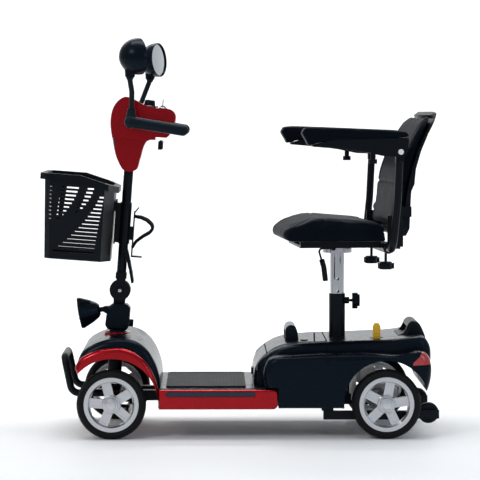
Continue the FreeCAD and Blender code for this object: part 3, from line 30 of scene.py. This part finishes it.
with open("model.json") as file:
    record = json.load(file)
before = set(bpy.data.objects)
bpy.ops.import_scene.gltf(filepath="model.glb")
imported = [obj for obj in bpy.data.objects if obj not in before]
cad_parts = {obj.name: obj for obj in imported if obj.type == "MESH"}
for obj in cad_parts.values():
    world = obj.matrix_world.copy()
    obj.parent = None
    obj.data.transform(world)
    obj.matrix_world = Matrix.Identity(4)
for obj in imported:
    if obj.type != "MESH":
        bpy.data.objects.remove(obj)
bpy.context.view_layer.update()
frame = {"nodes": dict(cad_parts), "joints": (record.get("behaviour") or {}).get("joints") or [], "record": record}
NODES = frame["nodes"]


# ---- sizes read from the frame ------------------------------------------------------------

def joint_named(name):
    return [joint for joint in frame["joints"] if joint["name"] == name][0]


FRONT_AXLE = Vector(joint_named("front_wheel_left_spin")["pos_m"])
REAR_AXLE = Vector(joint_named("rear_wheel_left_spin")["pos_m"])
LEAN_AXIS = Vector(joint_named("tiller_steer")["axis"]).normalized()
FOLD_PIVOT = Vector(joint_named("tiller_tilt")["pos_m"])
SEAT_SPOT = Vector(joint_named("seat_swivel")["pos_m"])
BACK_AXIS = Vector(joint_named("backrest_fold")["axis"]).normalized()
MM = 0.001
SIDES = ((-1, "left"), (1, "right"))

# sizes of the CAD that pieces added here have to meet, in millimetres and degrees
HUB_REACH = 24
CHANNEL_FLOOR = 4.4
FIRST_SPOKE = {"front": 104, "rear": 80}
SPOKES = 5
GRIP_Y = 250
MIRROR_BALLS = {-1: (-6, 34, 626), 1: (36, 34, 632)}
MIRROR_YAW = 25
MIRROR_PITCH = 8
ARM_Y = 270
ARM_PIVOT = (143, 827)
BACK_PIVOT = (155, 205, 653)
FOLD_HALF_WIDTH = 32
CONSOLE_TOP = 545.5


def tiller_matrix():
    """Origin on the fold pivot, Z up along the leaning tiller, X to the rear."""
    across = Vector((0, 1, 0))
    ahead = across.cross(LEAN_AXIS).normalized()
    turn = Matrix((ahead, across, LEAN_AXIS)).transposed()
    return Matrix.Translation(FOLD_PIVOT) @ turn.to_4x4()


def seat_matrix():
    """Origin on the ground under the seat post, turned with the seat."""
    ahead = BACK_AXIS.cross(Vector((0, 0, 1))).normalized()
    turn = Matrix((ahead, BACK_AXIS, Vector((0, 0, 1)))).transposed()
    return Matrix.Translation(Vector((SEAT_SPOT.x, SEAT_SPOT.y, 0))) @ turn.to_4x4()


TILLER = tiller_matrix()
SEAT = seat_matrix()


# ---- materials ----------------------------------------------------------------------------

def shade(color, factor):
    return tuple(min(1.0, channel * factor) for channel in color) + (1.0,)


def material(name, base, roughness, metallic=0.0, coat=0.0, mottle=0.12, mottle_scale=14.0,
             spread=0.07, grain_scale=900.0, grain_depth=0.15, cells=False, edge=0.7,
             sheen=0.0, flakes=False, streaks=False, shine=0.5, glint=(1, 1, 1)):
    """A moulded, painted or metal surface with colour drift, gloss drift and a fine grain."""
    made = bpy.data.materials.new(name)
    made.use_nodes = True
    tree = made.node_tree
    nodes, links = tree.nodes, tree.links
    shader = nodes["Principled BSDF"]
    place = nodes.new("ShaderNodeTexCoord")
    stretch = nodes.new("ShaderNodeMapping")
    stretch.inputs["Scale"].default_value = (1, 1, 0.06) if streaks else (1, 1, 1)
    links.new(place.outputs["Object"], stretch.inputs["Vector"])

    drift = nodes.new("ShaderNodeTexNoise")
    drift.inputs["Scale"].default_value = mottle_scale
    drift.inputs["Detail"].default_value = 6
    links.new(stretch.outputs["Vector"], drift.inputs["Vector"])
    tint = nodes.new("ShaderNodeMix")
    tint.data_type = "RGBA"
    tint.inputs["A"].default_value = shade(base, 1 - mottle)
    tint.inputs["B"].default_value = shade(base, 1 + mottle)
    links.new(drift.outputs["Fac"], tint.inputs["Factor"])
    links.new(tint.outputs["Result"], shader.inputs["Base Color"])

    gloss = nodes.new("ShaderNodeMapRange")
    gloss.inputs["To Min"].default_value = max(0.02, roughness - spread)
    gloss.inputs["To Max"].default_value = min(1.0, roughness + spread)
    smudge = nodes.new("ShaderNodeTexNoise")
    smudge.inputs["Scale"].default_value = mottle_scale * 2.3
    smudge.inputs["Detail"].default_value = 8
    links.new(stretch.outputs["Vector"], smudge.inputs["Vector"])
    links.new(smudge.outputs["Fac"], gloss.inputs["Value"])
    links.new(gloss.outputs["Result"], shader.inputs["Roughness"])

    if cells:
        grain = nodes.new("ShaderNodeTexVoronoi")
        height = grain.outputs["Distance"]
    else:
        grain = nodes.new("ShaderNodeTexNoise")
        grain.inputs["Detail"].default_value = 3
        height = grain.outputs["Fac"]
    grain.inputs["Scale"].default_value = grain_scale
    links.new(stretch.outputs["Vector"], grain.inputs["Vector"])
    bump = nodes.new("ShaderNodeBump")
    bump.inputs["Strength"].default_value = grain_depth
    bump.inputs["Distance"].default_value = 0.3 * MM
    links.new(height, bump.inputs["Height"])
    if edge:
        bevel = nodes.new("ShaderNodeBevel")
        bevel.samples = 4
        bevel.inputs["Radius"].default_value = edge * MM
        links.new(bevel.outputs["Normal"], bump.inputs["Normal"])
    links.new(bump.outputs["Normal"], shader.inputs["Normal"])

    if flakes:
        speck = nodes.new("ShaderNodeTexVoronoi")
        speck.inputs["Scale"].default_value = 2600
        links.new(place.outputs["Object"], speck.inputs["Vector"])
        spark = nodes.new("ShaderNodeMapRange")
        spark.inputs["To Min"].default_value = 0.80
        spark.inputs["To Max"].default_value = 1.0
        links.new(speck.outputs["Distance"], spark.inputs["Value"])
        links.new(spark.outputs["Result"], shader.inputs["Metallic"])
    else:
        shader.inputs["Metallic"].default_value = metallic
    shader.inputs["Coat Weight"].default_value = coat
    shader.inputs["Coat Roughness"].default_value = 0.06
    shader.inputs["Specular IOR Level"].default_value = shine
    shader.inputs["Specular Tint"].default_value = (*glint, 1)
    shader.inputs["Sheen Weight"].default_value = sheen
    return made


def glass(name):
    """Clear moulded lens with fine flutes."""
    made = material(name, (0.92, 0.95, 0.97), 0.05, mottle=0.02, grain_scale=260, grain_depth=0.3,
                    edge=0)
    shader = made.node_tree.nodes["Principled BSDF"]
    shader.inputs["Transmission Weight"].default_value = 0.9
    shader.inputs["IOR"].default_value = 1.49
    return made


def tyre_material(name, axle, half_width):
    """Rubber with a cut tread round the axle, fading out on the side walls."""
    made = material(name, (0.0048, 0.0052, 0.0060), 0.55, mottle=0.25, grain_scale=1100,
                    grain_depth=0.4, shine=0.12)
    tree = made.node_tree
    nodes, links = tree.nodes, tree.links
    bump = [each for each in nodes if each.type == "BUMP"][0]

    def maths(operation, *values):
        step = nodes.new("ShaderNodeMath")
        step.operation = operation
        for socket, value in zip(step.inputs, values):
            if isinstance(value, (int, float)):
                socket.default_value = value
            else:
                links.new(value, socket)
        return step.outputs[0]

    where = nodes.new("ShaderNodeTexCoord")
    split = nodes.new("ShaderNodeSeparateXYZ")
    links.new(where.outputs["Object"], split.inputs["Vector"])
    ahead = maths("SUBTRACT", split.outputs["X"], axle.x)
    above = maths("SUBTRACT", split.outputs["Z"], axle.z)
    squares = maths("ADD", maths("MULTIPLY", ahead, ahead), maths("MULTIPLY", above, above))
    reach = maths("SQRT", squares)
    turn = maths("ARCTAN2", above, ahead)
    aside = maths("ABSOLUTE", maths("SUBTRACT", maths("ABSOLUTE", split.outputs["Y"]), abs(axle.y)))
    block = maths("SINE", maths("ADD", maths("MULTIPLY", turn, 44.0), maths("MULTIPLY", aside, 300.0)))
    cut = maths("LESS_THAN", block, -0.55)
    on_tread = maths("GREATER_THAN", reach, 0.0885)
    off_middle = maths("GREATER_THAN", aside, half_width * 0.32)
    groove = maths("MULTIPLY", maths("MULTIPLY", cut, on_tread), off_middle)
    from_line = maths("ABSOLUTE", maths("SUBTRACT", aside, half_width * 0.26))
    line = maths("MULTIPLY", maths("LESS_THAN", from_line, 0.0012), on_tread)
    rings = maths("MULTIPLY", maths("SINE", maths("MULTIPLY", reach, 1500.0)), 0.12)
    height = maths("SUBTRACT", rings, maths("MAXIMUM", groove, line))
    carve = nodes.new("ShaderNodeBump")
    carve.inputs["Strength"].default_value = 0.9
    carve.inputs["Distance"].default_value = 1.6 * MM
    links.new(height, carve.inputs["Height"])
    for link in list(bump.inputs["Normal"].links):
        links.new(link.from_socket, carve.inputs["Normal"])
    links.new(carve.outputs["Normal"], bump.inputs["Normal"])
    return made


LOOKS = {
    "frame_steel": material("powder_coated_steel", (0.0038, 0.0042, 0.0050), 0.36, grain_scale=1400,
                            grain_depth=0.18, shine=0.16, glint=(0.70, 0.84, 1.0)),
    "bright_steel": material("chromed_steel", (0.60, 0.61, 0.64), 0.14, metallic=1.0, mottle=0.06,
                             spread=0.05, grain_depth=0.03),
    "zinc_steel": material("zinc_plated_steel", (0.48, 0.48, 0.47), 0.33, metallic=1.0, mottle=0.15),
    "red_paint": material("metallic_red_paint", (0.36, 0.0010, 0.0070), 0.27, coat=0.25, mottle=0.10,
                          flakes=True, grain_depth=0.03, edge=1.0),
    "body_black": material("satin_black_shell", (0.0022, 0.0036, 0.0070), 0.26, mottle=0.2,
                           grain_scale=1500, grain_depth=0.06, edge=1.0, shine=0.13,
                           glint=(0.55, 0.78, 1.0)),
    "trim_black": material("moulded_black_plastic", (0.0036, 0.0042, 0.0054), 0.38, mottle=0.2,
                           grain_scale=1700, grain_depth=0.22, cells=True, edge=0.6, shine=0.14,
                           glint=(0.65, 0.82, 1.0)),
    "deck_mat": material("ribbed_rubber", (0.0060, 0.0056, 0.0060), 0.55, mottle=0.25,
                         grain_scale=1300, grain_depth=0.4, shine=0.12),
    "rim_silver": material("silver_painted_rim", (0.58, 0.59, 0.61), 0.30, metallic=0.9, coat=0.25,
                           mottle=0.08, grain_depth=0.05, edge=0.9),
    "grip_rubber": material("grip_rubber", (0.0036, 0.0060, 0.0086), 0.46, mottle=0.2, cells=True,
                            grain_scale=620, grain_depth=0.4, shine=0.18, glint=(0.5, 0.8, 1.0)),
    "reflector_red": material("prism_reflector", (0.36, 0.008, 0.008), 0.14, coat=0.8, cells=True,
                              grain_scale=420, grain_depth=0.8, edge=0.4),
    "lens_clear": glass("clear_lens"),
    "upholstery": material("black_leatherette", (0.0026, 0.0038, 0.0066), 0.50, mottle=0.22,
                           cells=True, grain_scale=780, grain_depth=0.25, edge=0, shine=0.04,
                           glint=(0.6, 0.8, 1.0)),
    "lever_yellow": material("yellow_plastic", (0.78, 0.46, 0.015), 0.35, mottle=0.10),
    "button_green": material("green_button", (0.02, 0.30, 0.08), 0.30, coat=0.3),
    "button_red": material("red_button", (0.50, 0.012, 0.012), 0.30, coat=0.3),
    "cell_case": material("battery_case_grey", (0.09, 0.09, 0.10), 0.5),
}
CHROME = LOOKS["bright_steel"]
WHITE_CAP = material("white_bolt_cap", (0.82, 0.83, 0.84), 0.30, mottle=0.04, coat=0.4)
GLOSS_BLACK = material("gloss_black_trim", (0.0050, 0.0052, 0.0058), 0.12, coat=0.6, mottle=0.15,
                       spread=0.04, grain_depth=0.03)
# Near-black with a blue tint: the blue is a painted reflection of the sky on the black sill groove.
SKY_TINTED_BLACK = material("black_groove_painted_sky_reflection", (0.0075, 0.018, 0.034), 0.42, mottle=0.15, grain_scale=900,
                      grain_depth=0.3, shine=0.4)
# Near-black strands along the shell seams: painted shade in the seam gaps.
SEAM_SHADE = material("shadow_gap", (0.0016, 0.0016, 0.0020), 0.8, mottle=0.1, shine=0.1)
MIRROR = material("silvered_mirror", (0.86, 0.88, 0.90), 0.03, metallic=1.0, mottle=0.02, spread=0.01,
                  grain_depth=0.0, edge=0)
TYRES = {"front": tyre_material("front_tyre_rubber", FRONT_AXLE, 25 * MM),
         "rear": tyre_material("rear_tyre_rubber", REAR_AXLE, 25 * MM)}


def paint_cad_nodes():
    """Gives every CAD node the material of its slot, and each tyre the rubber of its axle."""
    slots = {entry["node"]: entry["material_slot"] for entry in frame["record"]["subparts"]}
    for node, thing in NODES.items():
        thing.data.materials.clear()
        if "tyre" in node:
            thing.data.materials.append(TYRES[node.split("_")[0]])
        else:
            thing.data.materials.append(LOOKS[slots[node]])


# ---- pieces added for the looks -----------------------------------------------------------

def at(behind, y, z):
    """A point given in millimetres behind the front axle, to the right and above the ground."""
    return Vector((FRONT_AXLE.x + behind * MM, y * MM, z * MM))


def on_tiller(x, y, z):
    return TILLER @ Vector((x * MM, y * MM, z * MM))


def on_seat(x, y, z):
    return SEAT @ Vector((x * MM, y * MM, z * MM))


def tiller_way(x, y, z):
    return TILLER.to_3x3() @ Vector((x, y, z))


def seat_way(x, y, z):
    return SEAT.to_3x3() @ Vector((x, y, z))


def to_mesh(name, build):
    bmesh.ops.recalc_face_normals(build, faces=build.faces)
    mesh = bpy.data.meshes.new(name)
    build.to_mesh(mesh)
    build.free()
    return mesh


def put(name, mesh, look, body, sharp=None):
    """Adds a mesh as a piece that moves with a body; edges above sharp degrees stay sharp."""
    piece = bpy.data.objects.new(name, mesh)
    bpy.context.scene.collection.objects.link(piece)
    mesh.materials.append(look)
    for face in mesh.polygons:
        face.use_smooth = True
    if sharp:
        mesh.set_sharp_from_angle(angle=math.radians(sharp))
    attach(piece, body)
    return piece


def turned(name, profile, spot, way, look, body, steps=48, sharp=32):
    """A piece turned about an axis that leaves spot along way; profile holds (radius, height)."""
    build = bmesh.new()
    turn = Vector(way).normalized().to_track_quat("Z", "Y").to_matrix()
    rows = []
    for radius, height in profile:
        if radius == 0:
            rows.append([build.verts.new(spot + turn @ Vector((0, 0, height * MM)))] * steps)
            continue
        rows.append([build.verts.new(spot + turn @ Vector((
            radius * MM * math.cos(2 * math.pi * k / steps),
            radius * MM * math.sin(2 * math.pi * k / steps), height * MM))) for k in range(steps)])
    for one, two in zip(rows, rows[1:]):
        for k in range(steps):
            corners = []
            for vert in (one[k], one[(k + 1) % steps], two[(k + 1) % steps], two[k]):
                if vert not in corners:
                    corners.append(vert)
            if len(corners) > 2:
                build.faces.new(corners)
    return put(name, to_mesh(name, build), look, body, sharp)


def strands(name, lines, radius, look, body):
    """Rounded strands along one or more lines of points."""
    curve = bpy.data.curves.new(name, "CURVE")
    curve.dimensions = "3D"
    curve.bevel_depth = radius * MM
    curve.bevel_resolution = 3
    curve.resolution_u = 8
    curve.use_fill_caps = True
    for line in lines:
        spline = curve.splines.new("NURBS")
        spline.points.add(len(line) - 1)
        for point, spot in zip(spline.points, line):
            point.co = (*spot, 1)
        spline.order_u = min(4, len(line))
        spline.use_endpoint_u = True
    curve.materials.append(look)
    piece = bpy.data.objects.new(name, curve)
    bpy.context.scene.collection.objects.link(piece)
    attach(piece, body)
    return piece


def bolt(name, spot, way, radius, look, body, high=2.4):
    """A low domed cap with a rim and a socket in its middle."""
    profile = [(radius, -1.0), (radius, 0.6), (radius * 0.9, high * 0.8), (radius * 0.62, high),
               (radius * 0.36, high), (radius * 0.33, high * 0.35), (0, high * 0.35)]
    return turned(name, profile, spot, way, look, body, 32)


def surface_points(node, starts, way):
    """Where rays from the starts first meet a CAD node."""
    thing = NODES[node]
    bpy.context.view_layer.update()
    back = thing.matrix_world.inverted()
    found = []
    for start in starts:
        aim = (back.to_3x3() @ Vector(way)).normalized()
        hit, spot, *_ = thing.ray_cast(back @ start, aim)
        if hit:
            found.append(thing.matrix_world @ spot)
    return found


def wheel_details():
    """Hub caps with their collars, and fine ribs in the channel of every spoke."""
    for name, axle in (("front", FRONT_AXLE), ("rear", REAR_AXLE)):
        for side, word in SIDES:
            wheel = f"{name}_wheel_{word}"
            middle_y = side * abs(axle.y)
            hub = Vector((axle.x, middle_y + side * HUB_REACH * MM, axle.z))
            dome = [(20, -9), (20.4, 0.4), (19.2, 2.6), (15.6, 3.6), (14.6, 3.6), (14.2, 5.2),
                    (12.6, 6.6), (6, 7.3), (0, 7.4)]
            turned(f"hub_cap_{name}_{word}", dome, hub, (0, side, 0), LOOKS["rim_silver"], wheel)
            lines = []
            for spoke in range(SPOKES):
                turn = math.radians(FIRST_SPOKE[name] + 360 / SPOKES * spoke)
                for across in (-3.4, 0.0, 3.4):
                    line = []
                    for reach in (31.5, 44, 56.5):
                        ahead = reach * math.cos(turn) - across * math.sin(turn)
                        above = reach * math.sin(turn) + across * math.cos(turn)
                        line.append(Vector((axle.x + ahead * MM, middle_y + side * CHANNEL_FLOOR * MM,
                                            axle.z + above * MM)))
                    lines.append(line)
            strands(f"spoke_ribs_{name}_{word}", lines, 1.0, LOOKS["rim_silver"], wheel)


def mirror_details():
    """Convex glass sunk in each housing."""
    for side, name in SIDES:
        x, out, z = MIRROR_BALLS[side]
        ball = TILLER @ Matrix.Translation(Vector((x, side * (GRIP_Y + out), z)) * MM)
        yaw = Matrix.Rotation(math.radians(-side * MIRROR_YAW), 4, "Z")
        pitch = Matrix.Rotation(math.radians(-MIRROR_PITCH), 4, "Y")
        aim = yaw @ pitch @ Matrix.Translation(Vector((28, 0, 57)) * MM)
        spot = ball @ aim @ Vector((3.2 * MM, 0, 0))
        way = (ball @ aim).to_3x3() @ Vector((1, 0, 0))
        turned(f"mirror_glass_{name}", [(0, 2.2), (16, 2.0), (32, 1.4), (47.6, 0.5), (48.6, -0.3)],
               spot, way, MIRROR, f"mirror_{name}", 72)


def bolt_details():
    """Bright bolt heads on the pivots."""
    for side, name in SIDES:
        bolt(f"fold_bolt_{name}", on_tiller(0, side * FOLD_HALF_WIDTH, 0), tiller_way(0, side, 0), 5.5,
             CHROME, "steering", 3)
        pivot_x, pivot_z = ARM_PIVOT
        for face, away in (("out", 1), ("in", -1)):
            toward = -side * away
            start = on_seat(pivot_x, side * (ARM_Y + 90 * away), pivot_z)
            seen = surface_points(f"arm_base_{name}", [start], seat_way(0, toward, 0))
            for spot in seen:
                bolt(f"arm_pivot_cap_{name}_{face}", spot, seat_way(0, -toward, 0), 8, WHITE_CAP,
                     f"armrest_{name}")
        x, y, z = BACK_PIVOT
        bolt(f"back_pivot_bolt_{name}", on_seat(x, side * y, z), seat_way(0, side, 0), 7, CHROME,
             "seat", 3)


def body_details():
    """Sill groove strips in black with a painted blue sky reflection, painted shade lines along the seams of the
    rear shell, and the ribs of the yellow lever.
    """
    for side, name in SIDES:
        build = bmesh.new()
        outline = []
        for middle, start in (((164, 129.5), 90), ((408, 129.5), -90)):
            for step in range(9):
                angle = math.radians(start + 22.5 * step)
                outline.append((middle[0] + 6.6 * math.cos(angle), middle[1] + 6.6 * math.sin(angle)))
        inner = [build.verts.new(at(x, side * 235.2, z)) for x, z in outline]
        outer = [build.verts.new(at(x, side * 238.6, z)) for x, z in outline]
        build.faces.new(outer)
        build.faces.new(inner[::-1])
        for k in range(len(outline)):
            follow = (k + 1) % len(outline)
            build.faces.new((inner[k], inner[follow], outer[follow], outer[k]))
        # Black sill groove strip; its blue tint is a painted sky reflection.
        insert = f"sill_insert_{name}"
        put(insert, to_mesh(insert, build), SKY_TINTED_BLACK, "chassis", 35)

        # Dark strand along each seam of the rear shell: painted shade in the gap.
        starts = [at(622, side * 320, z) for z in range(214, 288, 4)]
        line = surface_points("rear_cover", starts, (0, -side, 0))
        if len(line) > 3:
            strands(f"shell_seam_shade_{name}", [line], 0.8, SEAM_SHADE, "chassis")
    ribs = []
    for z in (286, 294, 302, 310):
        ribs.append([at(764, -107.4, z), at(772.5, -107.9, z), at(781, -107.4, z)])
    strands("lever_ribs", ribs, 1.1, LOOKS["lever_yellow"], "freewheel_lever")


def head_details():
    """Gloss band down the front of the pod, the bezels round the controls and the dial's mark."""
    front = [(-30, 379), (-38, 394), (-46.5, 421), (-54.5, 454), (-60.5, 483), (-61.5, 503),
             (-58.5, 530), (-46, 556), (-22, 572)]
    build = bmesh.new()
    rows = []
    for x, z in front:
        wide = 40 + 26 * min(1.0, (z - 379) / 120)
        row = []
        for y in (-1, -0.8, -0.5, 0, 0.5, 0.8, 1):
            curl = abs(y) ** 6
            row.append(build.verts.new(on_tiller(x + 5 * curl - 0.6, wide * y, z + 2 * curl)))
        rows.append(row)
    for one, two in zip(rows, rows[1:]):
        for k in range(6):
            build.faces.new((one[k], one[k + 1], two[k + 1], two[k]))
    band = put("head_band", to_mesh("head_band", build), GLOSS_BLACK, "tiller")
    round_off(band, 4.0)

    turned("dial_bezel", [(26, -1), (26, 2.6), (24.5, 3.8), (22.5, 3.4), (21.5, 0.4), (21.5, -1)],
           on_tiller(48, 0, 547), tiller_way(0, 0, 1), GLOSS_BLACK, "tiller", 56)
    turned("key_collar", [(9.5, -2), (9.5, 3.2), (8.4, 4.2), (6.3, 4.2), (6.0, -2)],
           on_tiller(88, -52, 543.5), tiller_way(0, 0, 1), CHROME, "tiller", 40)
    for name, y in (("horn", -22), ("power", 22)):
        turned(f"{name}_bezel", [(11.6, -2), (11.6, 1.6), (10.6, 2.6), (8.9, 2.6), (8.7, -2)],
               on_tiller(88, y, CONSOLE_TOP), tiller_way(0, 0, 1), GLOSS_BLACK, "tiller", 40)
    pointer = [on_tiller(36, 0, 567.6), on_tiller(48, 0, 567.9)]
    strands("dial_pointer", [pointer], 0.9, WHITE_CAP, "speed_dial")


def round_off(piece, thickness):
    """Gives a sheet its thickness and rounds its borders."""
    skin = piece.modifiers.new("thickness", "SOLIDIFY")
    skin.thickness = thickness * MM
    skin.offset = 0
    soft = piece.modifiers.new("borders", "SUBSURF")
    soft.levels = soft.render_levels = 2


# ---- upholstery ---------------------------------------------------------------------------

CLOTH_PRESSURE = 4.0
CLOTH_FRAMES = 20
START_SHRINK = 2.0


def cushion(name, node, body, held, swell, grooves, voxel):
    """Swells a pad from its node by cloth pressure, then sews its channels into it.

    held tells which points stay where they are, swell caps how far the others move, and each
    groove is a point and a direction of its plane, its depth and width, and where it runs.
    """
    source = NODES[node]
    mesh = source.data.copy()
    mesh.transform(source.matrix_world)
    pad = bpy.data.objects.new(name, mesh)
    scene = bpy.context.scene
    scene.collection.objects.link(pad)
    bpy.context.view_layer.objects.active = pad
    for other in bpy.context.selected_objects:
        other.select_set(False)
    pad.select_set(True)

    def settle(kind, **values):
        step = pad.modifiers.new(kind.lower(), kind)
        for key, value in values.items():
            setattr(step, key, value)
        bpy.ops.object.modifier_apply(modifier=step.name)

    settle("REMESH", mode="VOXEL", voxel_size=voxel * MM)
    settle("SMOOTH", factor=0.5, iterations=7)
    fixed = pad.vertex_groups.new(name="held")
    for vert in pad.data.vertices:
        if held(vert.co):
            fixed.add([vert.index], 1.0, "REPLACE")
    for vert in pad.data.vertices:
        if not held(vert.co):
            vert.co -= vert.normal * START_SHRINK * MM
    rest = [vert.co.copy() for vert in pad.data.vertices]
    cloth = pad.modifiers.new("cloth", "CLOTH")
    cloth.settings.use_pressure = True
    cloth.settings.uniform_pressure_force = CLOTH_PRESSURE
    cloth.settings.vertex_group_mass = "held"
    cloth.settings.quality = 4
    cloth.settings.tension_stiffness = 26
    cloth.settings.compression_stiffness = 26
    cloth.settings.bending_stiffness = 6
    cloth.settings.effector_weights.gravity = 0
    cloth.collision_settings.use_collision = False
    cloth.point_cache.frame_start = 1
    cloth.point_cache.frame_end = CLOTH_FRAMES
    for step in range(1, CLOTH_FRAMES + 1):
        scene.frame_set(step)
    bpy.ops.object.modifier_apply(modifier=cloth.name)
    scene.frame_set(1)
    for vert, start in zip(pad.data.vertices, rest):
        move = vert.co - start
        if move.length > swell * MM:
            vert.co = start + move.normalized() * swell * MM
    settle("SMOOTH", factor=0.5, iterations=3)
    settle("SUBSURF", levels=1)
    for point_on, across, depth, width, where in grooves:
        for vert in pad.data.vertices:
            if where(vert.co):
                away = abs((vert.co - point_on).dot(across)) / (width * MM)
                if away < 3:
                    vert.co -= vert.normal * depth * MM * math.exp(-away * away)
    pad.data.update()
    pad.vertex_groups.clear()
    pad.data.materials.clear()
    pad.data.materials.append(LOOKS["upholstery"])
    for face in pad.data.polygons:
        face.use_smooth = True
    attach(pad, body)
    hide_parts(node)
    return pad


def upholstery():
    """Seat, backrest and armrest pads."""
    back_to_seat = SEAT.inverted()

    def seat_spot(co):
        return back_to_seat @ co

    def anywhere(co):
        return True

    across_seat = seat_way(0.78, 0, -0.62).normalized()
    across_arm = seat_way(0.9, 0, -0.43).normalized()
    cushion("seat_pad", "seat_cushion", "seat",
            lambda co: co.z < 574 * MM, 4,
            [(on_seat(-62, 0, 630), across_seat, 1.8, 3.4, anywhere),
             (on_seat(0, 0, 598), Vector((0.03, 0, 1)).normalized(), 1.8, 2.6,
              lambda co: seat_spot(co).x > -90 * MM)], 6.0)
    cushion("back_pad", "back_cushion", "backrest",
            lambda co: seat_spot(co).x > 172 * MM and co.z < 640 * MM, 6,
            [(on_seat(150, 0, 735), Vector((0, 0, 1)), 4.0, 4.0, anywhere),
             (on_seat(0, -150, 0), seat_way(0, 1, 0), 2.6, 3.2,
              lambda co: co.z > 738 * MM),
             (on_seat(0, 150, 0), seat_way(0, 1, 0), 2.6, 3.2,
              lambda co: co.z > 738 * MM)], 5.5)
    for name in ("left", "right"):
        cushion(f"arm_rest_pad_{name}", f"arm_pad_{name}", f"armrest_{name}",
                lambda co: co.z < 851 * MM, 4,
                [(on_seat(0, 0, 872), Vector((0, 0, 1)), 1.2, 2.2,
                  lambda co: seat_spot(co).x > -104 * MM),
                 (on_seat(-104, 0, 872), across_arm, 0.7, 2.0, anywhere)], 4.0)


# ---- stage --------------------------------------------------------------------------------

def studio():
    """Pale floor that curves up behind, soft lights and the camera."""
    floor_mesh = bpy.data.meshes.new("floor")
    build = bmesh.new()
    half_width, near, far, sweep, top = 12.0, -9.0, 5.0, 2.0, 7.0
    profile = [(near, 0.0), (far, 0.0)]
    profile += [(far + sweep * math.sin(a), sweep - sweep * math.cos(a))
                for a in [math.radians(step) for step in range(10, 91, 10)]]
    profile.append((far + sweep, top))
    rows = [[build.verts.new((x, y, z)) for x in (-half_width, half_width)] for y, z in profile]
    for one, two in zip(rows, rows[1:]):
        build.faces.new((one[0], one[1], two[1], two[0]))
    build.to_mesh(floor_mesh)
    build.free()
    for face in floor_mesh.polygons:
        face.use_smooth = True
    floor = bpy.data.objects.new("floor", floor_mesh)
    bpy.context.scene.collection.objects.link(floor)
    pale = material("pale_floor", (0.93, 0.93, 0.93), 0.55, mottle=0.01, grain_depth=0.02, edge=0)
    floor_mesh.materials.append(pale)

    def lamp(name, spot, aim, size, power, tint=(1, 1, 1)):
        light = bpy.data.lights.new(name, "AREA")
        light.shape = "RECTANGLE"
        light.size, light.size_y = size
        light.energy = power
        light.color = tint
        holder = bpy.data.objects.new(name, light)
        holder.location = spot
        holder.rotation_euler = (Vector(aim) - Vector(spot)).to_track_quat("-Z", "Y").to_euler()
        bpy.context.scene.collection.objects.link(holder)

    lamp("key_light", (-2.2, -2.8, 2.9), (0, 0, 0.45), (1.1, 0.8), 34)
    lamp("side_light", (2.9, -2.6, 1.7), (0.2, 0, 0.4), (0.7, 1.4), 16, (0.55, 0.72, 1.0))
    lamp("top_light", (0, 0.1, 3.4), (0, 0, 0), (2.6, 1.2), 50)
    lamp("floor_light", (0, 2.9, 3.4), (0, 4.2, 0.6), (6.0, 1.4), 210)
    world = bpy.data.worlds.new("studio_air")
    world.use_nodes = True
    world.node_tree.nodes["Background"].inputs["Color"].default_value = (0.90, 0.95, 1.0, 1)
    world.node_tree.nodes["Background"].inputs["Strength"].default_value = 0.46
    bpy.context.scene.world = world

    camera = bpy.data.cameras.new("camera")
    camera.sensor_width = 36
    camera.lens = 172.7
    camera.dof.use_dof = False
    holder = bpy.data.objects.new("camera", camera)
    holder.location = (FRONT_AXLE.x + 0.2817, -6.8235, 0.9287)
    holder.rotation_euler = (math.radians(90 - 3.08), 0, math.radians(-0.77))
    bpy.context.scene.collection.objects.link(holder)
    bpy.context.scene.camera = holder
    bpy.context.scene.view_settings.view_transform = "Standard"


paint_cad_nodes()
wheel_details()
mirror_details()
bolt_details()
body_details()
head_details()
upholstery()
studio()
